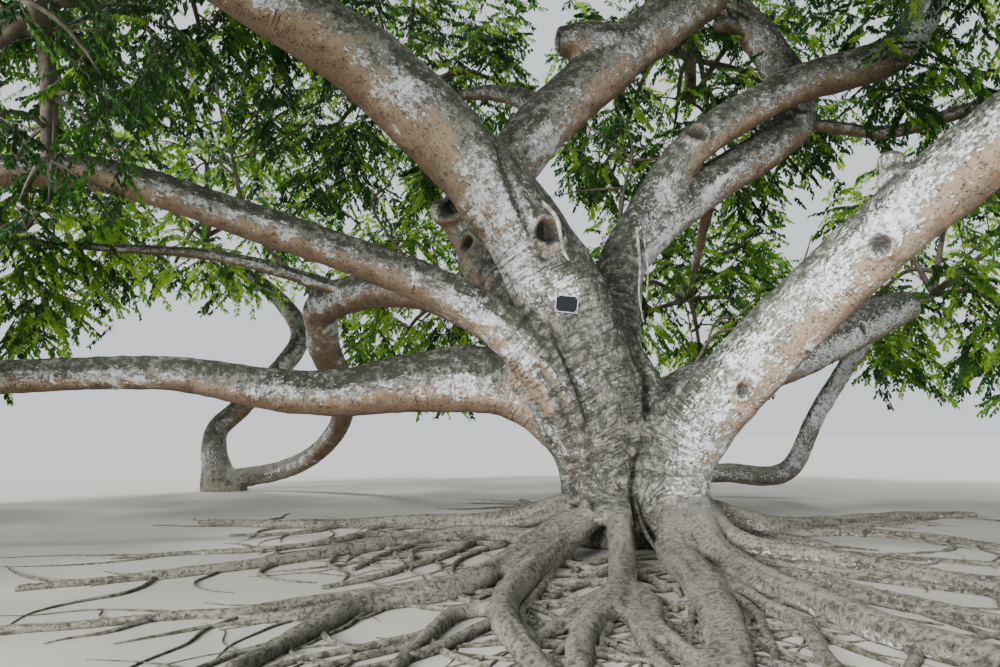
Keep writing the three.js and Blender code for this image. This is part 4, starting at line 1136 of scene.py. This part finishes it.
def scar_shape(points):
    """Height of the scars' rims over the bark, and the painted shade at each point in a hollow or crease.
    """
    height, hollow = np.zeros(len(points)), np.zeros(len(points))
    lip_place, lip_width, lip_share = CREASE_LIP
    dark_width, dark_share = CREASE_SHADE
    rim_place, rim_width = SCAR_RIM
    for width, depth, path in CREASES:
        away = crease_distance(points, path) / width
        lip = lip_share * np.exp(-((away - lip_place) / lip_width) ** 2)
        height += depth * (lip - np.exp(-away ** 2))
        # Painted shade in the crease's hollow
        hollow = np.maximum(hollow, dark_share * np.exp(-(away / dark_width) ** 2))
    for centre, radius, rise, depth in SCARS:
        centre = np.array(centre)
        inward = unit(bark_map.centres[bark_map.tree.find(centre)[1]] - centre)
        offset = points - centre
        sunk = np.clip(offset @ inward, 0, depth)[:, None]
        away = np.linalg.norm(offset - inward * sunk, axis=1) / radius
        inside = np.exp(-(away / SCAR_FLOOR) ** 4)
        height += rise * np.exp(-((away - rim_place) / rim_width) ** 2) - depth * inside
        # Painted shade in the scar's hollow
        hollow = np.maximum(hollow, np.exp(-(away / SCAR_SHADE) ** 6))
    return height, hollow


def wavy(row, seed):
    """A root's stations with small bends to both sides; it stays as it is at its thick end and tip."""
    course = Course(row, ROOT_BEND_SPACING)
    share = np.linspace(0, 1, len(course.centre))
    sideways = np.cross(course.tangent, [0, 0, 1])
    flat = course.centre.copy()
    flat[:, 2] = seed
    fade = np.clip(share * ROOT_FADES[0], 0, 1) * np.clip((1 - share) * ROOT_FADES[1], 0, 1)
    sway = rough(flat * ROOT_SWAY_SCALE, seed, 2) * fade * ROOT_SWAY
    moved = course.centre + sideways * sway[:, None]
    moved[:, 2] += ROOT_HEAVE * course.radius * rough(course.centre * ROOT_HEAVE_SCALE, seed + 5, 2)
    return [(*point, radius) for point, radius in zip(moved, course.radius)]


def root_courses():
    courses = []
    for number, (radii, points, branches) in enumerate(ROOTS.values()):
        for order, row in enumerate(root_stations(radii, points, branches)):
            courses.append(Course(wavy(row, number * 3 + order), TUBE_SPACING))
    return courses


def bark_piece(name, points, faces, normals, place, material):
    """Some faces of the bark as an object that keeps the whole surface's normals."""
    used, inverse = np.unique(faces, return_inverse=True)
    made = new_object(name, points[used], inverse.reshape(faces.shape), [material])
    add_layer(made, "bark_place", "FLOAT_VECTOR", "vector", place[used])
    # Painted shade in the hollows of scars and creases, kept for the bark's colour
    add_layer(made, "bark_wear", "FLOAT", "value", scar_shape(points[used])[1])
    made.data.normals_split_custom_set_from_vertices(normals[used].tolist())
    return made


def build_bark():
    """Trunk, boughs and roots as one surface, cut into pieces: {piece: [replaced nodes]}."""
    names = list(LIMBS)
    owners = names + [parent for parent, _ in STUBS] + ["roots"] * len(thick_roots)
    parts = [tube_of(course, LIMB_SIDES) for course in limbs]
    parts += [tube_of(course, ROOT_SIDES) for course in thick_roots]
    points, quads, _ = modified(*merged(parts), 4, "REMESH", mode="VOXEL", voxel_size=VOXEL)
    _, place, radius = bark_map.locate(points)
    weight = np.clip((radius - THIN_RADIUS) / (FULL_RADIUS - THIN_RADIUS), LEAST_EVENING, 1)[:, None]
    points = flow_together(points, quads, weight)
    height = relief(points, place, radius) + scar_shape(points)[0]
    points = points + corner_normals(points, quads) * height[:, None]
    points[:, 2] = np.maximum(points[:, 2], 0)
    points, faces, normals = modified(
        points, quads, 3, "DECIMATE", ratio=KEPT_FACES, use_collapse_triangulate=True)
    points[:, 2] = np.maximum(points[:, 2], 0)
    owner, place, _ = bark_map.locate(points)
    piece_names = ["trunk", *names, "roots"]
    face_owner = owner[faces[:, 0]]
    belongs = np.array([piece_names.index(name) for name in owners])[face_owner]
    for name in TRUNK_COLLARS:
        belongs[(face_owner == names.index(name)) & (place[faces[:, 0], 2] < collar_distance(name))] = 0
    pieces = {}
    for number, name in enumerate(piece_names):
        piece = bark_piece(name + "_bark", points, faces[belongs == number], normals, place, BARK)
        pieces[piece] = list(ROOTS) if name == "roots" else [name]
    return pieces


def collar_distance(name):
    """Metres along a limb to the station where the trunk ends."""
    course = fine_courses[name]
    collar = np.array(LIMBS[name][TRUNK_COLLARS[name]][:3])
    nearest = np.argmin(np.linalg.norm(course.centre - collar, axis=1))
    return course.length * nearest / (len(course.centre) - 1)


def tubes_piece(name, courses, material, sides, lumps):
    """Closed tubes with lumpy sides, joined, with the bark's own coordinates."""
    parts, places = [], []
    turn = TAU * np.arange(sides) / sides
    for course in courses:
        points, faces = tube_of(course, sides)
        along = np.linspace(0, course.length, len(course.centre))
        ring = np.stack([
            np.outer(course.radius, np.cos(turn)), np.outer(course.radius, np.sin(turn)),
            np.repeat(along[:, None], sides, axis=1)], axis=2).reshape(-1, 3)
        spine = np.vstack([np.repeat(course.centre, sides, axis=0), points[-2:]])
        points = spine + (points - spine) * (1 + lumps * rough(points * 3.0, 7, 3))[:, None]
        points[:, 2] = np.maximum(points[:, 2], 0)
        parts.append((points, faces))
        places.append(np.vstack([ring, [[0, 0, 0]], [[0, 0, course.length]]]))
    points, faces = merged(parts)
    made = new_object(name, points, faces, [material])
    add_layer(made, "bark_place", "FLOAT_VECTOR", "vector", np.vstack(places))
    return made


def rootlets():
    """Thin roots: those of the photo, and others that leave each thick root to both sides."""
    made = []
    for number, (radius, points) in enumerate(THIN_ROOTS):
        rows = []
        for index, (x, y) in enumerate(points):
            thinner = radius * (1 - THIN_ROOT_TAPER * index / (len(points) - 1))
            rows.append((x, y, thinner * ROOT_RIDE, thinner))
        made.append(Course(wavy(rows, 60 + number), ROOTLET_RING))
    parents = thick_roots + made
    for number, parent in enumerate(parents):
        count = int(parent.length / ROOTLET_SPACING)
        for order in range(2, count):
            key = number * 40 + order
            spot = int((order + chance(71, key)) / (count + 1) * (len(parent.centre) - 1))
            x, y, z = parent.centre[spot]
            heading = math.atan2(parent.tangent[spot][1], parent.tangent[spot][0])
            heading += draw(ROOTLET_TURN, 72, key) * (1 if order % 2 else -1)
            radius = parent.radius[spot] * draw(ROOTLET_SHARE, 73, key)
            step = draw(ROOTLET_STEP, 74, key)
            rows = []
            for index in range(ROOTLET_STATIONS):
                thinner = radius * (1 - ROOTLET_TAPER * index)
                rows.append((x, y, min(z, thinner * ROOT_RIDE), thinner))
                heading += (chance(75, key * 7 + index) - 0.5) * ROOTLET_BEND
                x += step * math.cos(heading)
                y += step * math.sin(heading)
            made.append(Course(rows, ROOTLET_RING))
    return made


def thin_courses(rows, spacing):
    courses = []
    for thick, thin, points in rows:
        radii = np.linspace(thick, thin, len(points))
        courses.append(Course([(*point, radius) for point, radius in zip(points, radii)], spacing))
    return courses


def box_arrays(centre, size):
    """A box as (points, quads)."""
    ends = (-0.5, 0.5)
    corners = np.array([(x, y, z) for x in ends for y in ends for z in ends])
    quads = np.array([(0, 1, 3, 2), (4, 6, 7, 5), (0, 4, 5, 1), (2, 3, 7, 6), (0, 2, 6, 4), (1, 5, 7, 3)])
    return corners * np.array(size) + np.array(centre), quads


def build_plate():
    """Label plate, bare: a dark panel with a pale rim and four screw heads, leaning with the trunk."""
    low, high = (np.array(corner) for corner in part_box("label_plate"))
    centre = (low + high) / 2
    front = low[1] - PLATE_STANDS_OFF
    panel = box_arrays((0, PLATE_THICKNESS / 2, 0), (PLATE_WIDTH, PLATE_THICKNESS, PLATE_HEIGHT))
    post_depth = high[1] - front - PLATE_THICKNESS / 2
    post = box_arrays((0, (PLATE_THICKNESS + post_depth) / 2, 0),
                      (PLATE_WIDTH * POST_SHARE, post_depth, PLATE_HEIGHT * POST_SHARE))
    parts, looks = [panel, post], [0] * 12
    for side in (-1, 1):
        across = (PLATE_WIDTH - RIM_WIDTH) / 2 * side
        upward = (PLATE_HEIGHT - RIM_WIDTH) / 2 * side
        parts.append(box_arrays((across, 0, 0), (RIM_WIDTH, RIM_DEPTH, PLATE_HEIGHT)))
        parts.append(box_arrays((0, 0, upward), (PLATE_WIDTH - 2 * RIM_WIDTH, RIM_DEPTH, RIM_WIDTH)))
        for other in (-1, 1):
            screw_place = (across * SCREW_PLACE[0], 0, upward * SCREW_PLACE[1] * other)
            parts.append(box_arrays(screw_place, (SCREW_SIZE, SCREW_DEPTH, SCREW_SIZE)))
        looks += [1] * 24
    points, quads = merged(parts)
    cosine, sine = math.cos(PLATE_LEAN), math.sin(PLATE_LEAN)
    x = points[:, 0] * cosine + points[:, 2] * sine + centre[0]
    z = points[:, 2] * cosine - points[:, 0] * sine + centre[2]
    placed = np.stack([x, points[:, 1] + front, z], 1)
    return new_object("plate", placed, quads, [PLATE_DARK, PLATE_PALE], looks, smooth=False)


# Foliage

LOWEST_CORNER = np.array(cad_box[0]) - CROWN_ROOM
HIGHEST_CORNER = np.array(cad_box[1]) + CROWN_ROOM


def keeps_to_space(mass, points):
    """True inside the mass, nearer its middle than any other's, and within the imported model's box."""
    own = mass.depth(points)
    free = (own <= 1) & (points[..., 2] > LOWEST_SPRAY)
    free &= np.all((points > LOWEST_CORNER) & (points < HIGHEST_CORNER), axis=-1)
    for other in masses:
        if other is not mass:
            free &= other.depth(points) > own + SPACE_MARGIN
    return free


def clear_of_limbs(points, clearance):
    nearest = [limb_map.tree.find(point) for point in points]
    distance = np.array([row[2] for row in nearest])
    return distance > limb_map.radii[[row[1] for row in nearest]] + clearance


def is_free(mass, points, clearance):
    return keeps_to_space(mass, points) & clear_of_limbs(points, clearance) & clear_of_view(points)


def from_viewpoint(points):
    """How far each point lies from the photo's viewpoint: in all, aside, ahead and upward."""
    offset = points - np.array(CAMERA_PLACE)
    cosine, sine = math.cos(CAMERA_PITCH), math.sin(CAMERA_PITCH)
    ahead = offset[:, 1] * cosine + offset[:, 2] * sine
    upward = offset[:, 2] * cosine - offset[:, 1] * sine
    return np.linalg.norm(offset, axis=1), np.abs(offset[:, 0]), ahead, np.abs(upward)


def clear_of_view(points):
    """False close in front of the viewpoint, where a leaf would fill the picture."""
    distance, _, ahead, _ = from_viewpoint(points)
    return (ahead < VIEW_CONE * distance) & (distance > ROUND_CLEARANCE) | (distance > VIEW_CLEARANCE)


def shown_distance(points):
    """Distance from the photo's viewpoint, or endless for points that the photo doesn't show."""
    distance, aside, ahead, upward = from_viewpoint(points)
    shown = (aside < ahead * SHOWN_HALF_WIDTH) & (upward < ahead * SHOWN_HALF_HEIGHT)
    return np.where(shown, distance, ENDLESS)


def spread_directions(count, seed):
    """Evenly spread directions, turned by the seed."""
    order = np.arange(count)
    upward = 1 - 2 * (order + 0.5) / count
    level = np.sqrt(1 - upward ** 2)
    turn = order * GOLDEN_ANGLE + TAU * chance(seed, 0)
    return np.stack([level * np.cos(turn), level * np.sin(turn), upward], 1)


def source_twigs(mass, seed):
    """The stem and twigs as the source grows them."""
    bough = source_courses[mass.bough]
    tip, tangent = bough.centre[-1], bough.tangent[-1]
    onward = tip + tangent * np.linalg.norm(mass.centre - tip) * STEM_ONWARD
    stations = [(*point, bough.radius[-1] * (1 - STEM_TAPER * order))
                for order, point in enumerate((tip, onward, mass.centre))]
    stem = Course(stations, LIMB_RING_SPACING)
    twigs = []
    for index, end in enumerate(mass.point(spread_directions(TWIGS_PER_MASS, seed) * TWIG_REACH)):
        place = draw(TWIG_PLACE, seed, index + 1)
        start = stem.centre[int(place * (len(stem.centre) - 1) + 0.5)]
        middle = start + (end - start) * TWIG_MIDDLE
        middle[2] += np.linalg.norm(end - start) * TWIG_ARCH
        rows = [(*point, TWIG_RADIUS + (TWIG_TIP_RADIUS - TWIG_RADIUS) * order / 2)
                for order, point in enumerate((start, middle, end))]
        twigs.append(Course(rows, TWIG_RING))
    return Course(stations, TWIG_RING), twigs


def arched(start, end, arch, steps):
    """Paths from start to end that rise by arch times their length."""
    middle = (start + end) / 2
    middle[:, 2] += np.linalg.norm(end - start, axis=1) * arch * 2
    w = np.linspace(0, 1, steps)[None, :, None]
    return start[:, None] * (1 - w) ** 2 + middle[:, None] * 2 * w * (1 - w) + end[:, None] * w ** 2


def branch_off(targets, places, tangents):
    """For each target the place to grow from: near it, and heading its way."""
    offset = targets[:, None] - places[None]
    distance = np.linalg.norm(offset, axis=2)
    heading = np.sum(offset * tangents[None], axis=2) / np.maximum(distance, 1e-6)
    apart, along = HEADING_WEIGHTS
    return places[np.argmin(distance * (apart - along * heading), axis=1)]


def tapered(paths, radii, sides):
    """Closed tubes that end in a point, along many paths of equal step count: (points, triangles)."""
    count, steps = paths.shape[:2]
    aim = unit(paths[:, -1] - paths[:, 0])
    side = unit(np.cross(aim, np.array([0.13, 0.21, 0.97])))
    lift = np.cross(side, aim)
    turn = TAU * np.arange(sides) / sides
    around = np.cos(turn)[None, :, None] * side[:, None] + np.sin(turn)[None, :, None] * lift[:, None]
    rings = paths[:, :-1, None] + around[:, None] * np.asarray(radii)[None, :, None, None]
    points = np.concatenate([rings.reshape(count, -1, 3), paths[:, -1:]], axis=1)
    pattern = []
    for step in range(steps - 2):
        for corner in range(sides):
            a = step * sides + corner
            b = step * sides + (corner + 1) % sides
            pattern += [(a, b, b + sides), (a, b + sides, a + sides)]
    last, tip = (steps - 2) * sides, (steps - 1) * sides
    pattern += [(last + corner, last + (corner + 1) % sides, tip) for corner in range(sides)]
    pattern += [(0, corner + 1, corner) for corner in range(1, sides - 1)]
    faces = np.array(pattern)[None] + (tip + 1) * np.arange(count)[:, None, None]
    return points.reshape(-1, 3), faces.reshape(-1, 3)


def path_tangents(paths):
    return unit(np.gradient(paths, axis=1))


def grow_arms(mass, stem, twigs, seed):
    axes = [stem, *twigs]
    places = np.vstack([axis.centre[1:] for axis in axes])
    tangents = np.vstack([axis.tangent[1:] for axis in axes])
    depth = draw(ARM_DEPTH, seed, 60 + np.arange(ARMS_PER_MASS))
    targets = mass.point(spread_directions(ARMS_PER_MASS, seed + 0.3) * depth[:, None])
    targets = targets[keeps_to_space(mass, targets) & clear_of_view(targets)]
    paths = arched(branch_off(targets, places, tangents), targets, TWIG_ARCH, ARM_STEPS)
    places = np.vstack([places, paths[:, 1:].reshape(-1, 3)])
    tangents = np.vstack([tangents, path_tangents(paths)[:, 1:].reshape(-1, 3)])
    return paths, places, tangents


def grow_branchlets(mass, places, tangents, count, reach, seed):
    depth = draw(BRANCHLET_DEPTH, seed, 200 + np.arange(count)) ** BRANCHLET_CROWDING
    targets = mass.point(spread_directions(count, seed + 0.7) * depth[:, None])
    start = branch_off(targets, places, tangents)
    offset = targets - start
    distance = np.linalg.norm(offset, axis=1, keepdims=True)
    end = start + offset * np.minimum(1, reach / np.maximum(distance, 1e-6))
    free = is_free(mass, end, BRANCHLET_CLEARANCE) & (distance[:, 0] > SHORTEST_BRANCHLET)
    return arched(start[free], end[free], BRANCHLET_ARCH, BRANCHLET_STEPS)


def grow_sprays(paths, per_path, length, seed):
    """Root and tip of the sprays that hang from each path."""
    order = np.arange(per_path)
    spot = FIRST_SPRAY + order * (paths.shape[1] - 1 - FIRST_SPRAY) / (per_path - 1)
    before = np.minimum(spot.astype(int), paths.shape[1] - 2)
    part = (spot - before)[None, :, None]
    root = paths[:, before] * (1 - part) + paths[:, before + 1] * part
    aim = path_tangents(paths)[:, before]
    key = np.arange(len(paths))[:, None] * per_path + order[None]
    level = unit(np.stack([-aim[..., 1], aim[..., 0], np.full(aim.shape[:2], 1e-3)], axis=-1))
    side = np.where(order % 2, 1.0, -1.0)[None, :, None]
    swing = draw(SPRAY_SWING, seed, key + 0.11)[..., None]
    down = draw(SPRAY_DROOP, seed, key + 0.47)[..., None]
    direction = unit(aim * SPRAY_ONWARD + level * side * swing - np.array([0, 0, 1.0]) * down)
    size = (length * draw(SPRAY_SIZE, seed, key + 0.71))[..., None]
    return root.reshape(-1, 3), (root + direction * size).reshape(-1, 3)


def grow_leaves(start, end, per_spray, length, seed):
    """Folded leaves of two faces in two rows along each spray: (points, triangles)."""
    order = np.arange(per_spray)
    share = ((order + 1.0) / per_spray)[None, :, None]
    key = np.arange(len(start))[:, None] * per_spray + order[None]
    aim = unit(end - start)[:, None]
    root = start[:, None] + (end - start)[:, None] * share
    sideways = unit(np.cross(aim, np.array([0.05, 0.03, 1.0])))
    side = np.where(order % 2, 1.0, -1.0)[None, :, None]
    spread = draw(LEAF_SPREAD, seed, key + 0.19)[..., None]
    wave = (chance(seed, key + 0.37) - 0.5)[..., None]
    direction = unit(aim * LEAF_ONWARD + sideways * side * spread
                     + np.cross(sideways, aim) * wave * LEAF_WAVE - np.array([0, 0, LEAF_DROOP]))
    turn = TAU * chance(seed, key + 0.53)
    facing = np.stack([np.cos(turn), np.sin(turn), LEAF_TILT * chance(seed, key + 0.67)], axis=-1)
    across = unit(np.cross(direction, facing))
    size = (length * draw(LEAF_SIZE, seed, key + 0.83))[..., None]
    half = across * size * LEAF_WIDTH / 2
    fold = np.cross(across, direction) * size * LEAF_FOLD * LEAF_WIDTH
    waist = root + direction * size * LEAF_WAIST + fold
    points = np.stack([root, waist + half, root + direction * size, waist - half], axis=2)
    faces = np.array([[0, 1, 2], [0, 2, 3]])[None] + 4 * np.arange(key.size)[:, None, None]
    return points.reshape(-1, 3), faces.reshape(-1, 3)


def leaf_looks(shares, count, per_spray, seed):
    """Colour number of every leaf face, dealt out by spray."""
    drawn = np.searchsorted(np.cumsum(shares), chance(seed + 0.5, np.arange(count) * 1.7) * sum(shares))
    return np.repeat(np.minimum(drawn, len(shares) - 1), per_spray * 2)


def grow(mass, seed):
    """Stem, twigs, stalks and leaves of one mass."""
    density, reach, grades = BRANCHLETS_PER_CUBIC_METRE, BRANCHLET_REACH, LEAF_GRADES
    stem, twigs = source_twigs(mass, seed)
    if mass.name == HANGING_MASS[0]:
        density, reach, grades = HANGING_BRANCHLETS, HANGING_REACH, HANGING_GRADES
        stem.radius = stem.radius * HANGING_STEM_SHARE
    arms, places, tangents = grow_arms(mass, stem, twigs, seed)
    volume = 4 / 3 * math.pi * np.prod(mass.half)
    branchlets = grow_branchlets(mass, places, tangents, int(volume * density), reach, seed)
    wood = [tube_of(twig, TWIG_SIDES) for twig in twigs]
    thick = ARM_RADIUS * np.linspace(1, ARM_TIP_SHARE, ARM_STEPS - 1)
    thin = BRANCHLET_RADIUS * np.linspace(1, BRANCHLET_TIP_SHARE, BRANCHLET_STEPS - 1)
    wood += [tapered(arms, thick, ARM_SIDES), tapered(branchlets, thin, THIN_SIDES)]
    # Painted shade and sunlight: the ring of masses sets how dark its leaves are
    shares = LEAF_LIGHT_AND_SHADE_SHARES[next(word for word in LEAF_LIGHT_AND_SHADE_SHARES if word in mass.name)]
    distance = shown_distance(branchlets.mean(axis=1))
    stalks, leaves, looks = [], [], []
    nearest = 0.0
    for grade, (farthest, sprays, spray_length, leaf_count, leaf_length) in enumerate(grades):
        chosen = branchlets[(distance >= nearest) & (distance < farthest)]
        nearest = farthest
        key = seed + grade * 0.17
        start, end = grow_sprays(chosen, sprays, spray_length, key)
        if len(end):
            free = is_free(mass, end, SPRAY_CLEARANCE)
            start, end = start[free], end[free]
        if len(end):
            stalks.append(tapered(np.stack([start, end], 1), [SPRAY_RADIUS], THIN_SIDES))
            leaves.append(grow_leaves(start, end, leaf_count, leaf_length, key))
            looks.append(leaf_looks(shares, len(start), leaf_count, key))
    foliage = (*merged(leaves), np.concatenate(looks))
    return tube_of(stem, STEM_SIDES), merged(wood), merged(stalks), foliage


def build_foliage():
    """Leaves in pieces of a limited size, {piece: [replaced nodes]}, and the wood that carries them."""
    stems, wood, stalks, groups = [], [], [], [[]]
    size = 0
    for seed, mass in enumerate(masses, start=1):
        stem, twigs, thin, leaves = grow(mass, seed)
        stems.append(stem)
        wood.append(twigs)
        stalks.append(thin)
        if size + len(leaves[1]) > LEAF_PIECE_FACES:
            groups.append([])
            size = 0
        groups[-1].append((*leaves, mass.name))
        size += len(leaves[1])
    pieces = {}
    for number, group in enumerate(groups, start=1):
        points, faces = merged([row[:2] for row in group])
        looks = np.concatenate([row[2] for row in group])
        made = new_object(f"leaves_{number}", points, faces, LEAVES, looks, smooth=False)
        pieces[made] = [row[3] for row in group]
    carriers = [
        new_object(name, *merged(parts), [material])
        for name, parts, material in (
            ("stems", stems, BARK), ("twigs", wood, TWIG_BARK), ("stalks", stalks, TWIG_BARK))]
    return pieces, carriers


limb_map = LimbMap(list(fine_courses.values()))
limbs = [fine_courses[name] for name in LIMBS] + [Course(rows, TUBE_SPACING) for _, rows in STUBS]
thick_roots = root_courses()
bark_map = LimbMap(limbs + thick_roots)
bark_pieces = build_bark()
side_courses = [fine_courses[name] for name in SIDE_BOUGHS]
foot_roots = thin_courses(FOOT_ROOTS, ROOTLET_RING)
side_piece = tubes_piece("side_boughs_bark", side_courses, BARK, sides=12, lumps=0.12)
thin_pieces = [
    tubes_piece("rootlets", rootlets() + foot_roots, BARK, sides=6, lumps=0.18),
    tubes_piece("aerial_roots", thin_courses(AERIAL_ROOTS, AERIAL_RING), PALE_BARK, sides=7, lumps=0.15),
    tubes_piece("thin_limbs", thin_courses(THIN_LIMBS, THIN_LIMB_RING), TWIG_BARK, sides=6, lumps=0.20),
]
leaf_pieces, carriers = build_foliage()
plate_piece = build_plate()
carriers += thin_pieces

for piece in (*bark_pieces, side_piece, *carriers, *leaf_pieces, plate_piece):
    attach(piece, "root")
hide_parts("label_plate")
for piece, names in bark_pieces.items():
    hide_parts(*names)
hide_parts(*SIDE_BOUGHS)
for piece, names in leaf_pieces.items():
    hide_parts(*names)

# Floor, light and camera

FLOOR_HALF = 400.0
FLOOR_HEIGHT = -0.002
floor_look, _, floor_shader = new_material("floor_pale", 0.9)
floor_shader.inputs["Base Color"].default_value = (*FLOOR_COLOUR, 1)
floor_corners = [(x * FLOOR_HALF, y * FLOOR_HALF, FLOOR_HEIGHT)
                 for x, y in ((-1, -1), (1, -1), (1, 1), (-1, 1))]
floor = new_object("floor", np.array(floor_corners), np.array([[0, 1, 2, 3]]), [floor_look], smooth=False)

world = bpy.data.worlds.new("pale")
world.use_nodes = True
world.node_tree.nodes["Background"].inputs["Color"].default_value = (*SKY_COLOUR, 1)
world.node_tree.nodes["Background"].inputs["Strength"].default_value = 1.0
bpy.context.scene.world = world


def add_light(name, kind, energy, place, target, **settings):
    data = bpy.data.lights.new(name, kind)
    data.energy = energy
    for key, value in settings.items():
        setattr(data, key, value)
    lamp = bpy.data.objects.new(name, data)
    lamp.location = place
    lamp.rotation_euler = (Vector(target) - Vector(place)).to_track_quat("-Z", "Y").to_euler()
    bpy.context.scene.collection.objects.link(lamp)


add_light("high_sun", "SUN", 4.5, place=(-14, -12, 26), target=(0, 0, 0), angle=0.20)
add_light("back_sun", "SUN", 2.0, place=(10, 24, 20), target=(0, 0, 0), angle=0.30)
add_light("side_key", "AREA", 1150, place=(-11, -9, 5.0), target=(0, 0, 4.2), size=4.0, spread=1.6)
add_light("front_key", "AREA", 2700, place=(-13, -26, 5.0), target=(0, 0, 4.5), size=4.0, spread=1.2)
add_light("right_key", "AREA", 180, place=(2.4, -8.6, 2.4), target=(0.6, 0.5, 3.8), size=2.0, spread=1.9)

camera_data = bpy.data.cameras.new("photo_view")
camera_data.lens = CAMERA_LENS
camera_data.sensor_width = CAMERA_SENSOR
camera = bpy.data.objects.new("photo_view", camera_data)
camera.location = CAMERA_PLACE
camera.rotation_euler = (math.pi / 2 + CAMERA_PITCH, 0, 0)
bpy.context.scene.collection.objects.link(camera)
bpy.context.scene.camera = camera

bpy.context.view_layer.update()
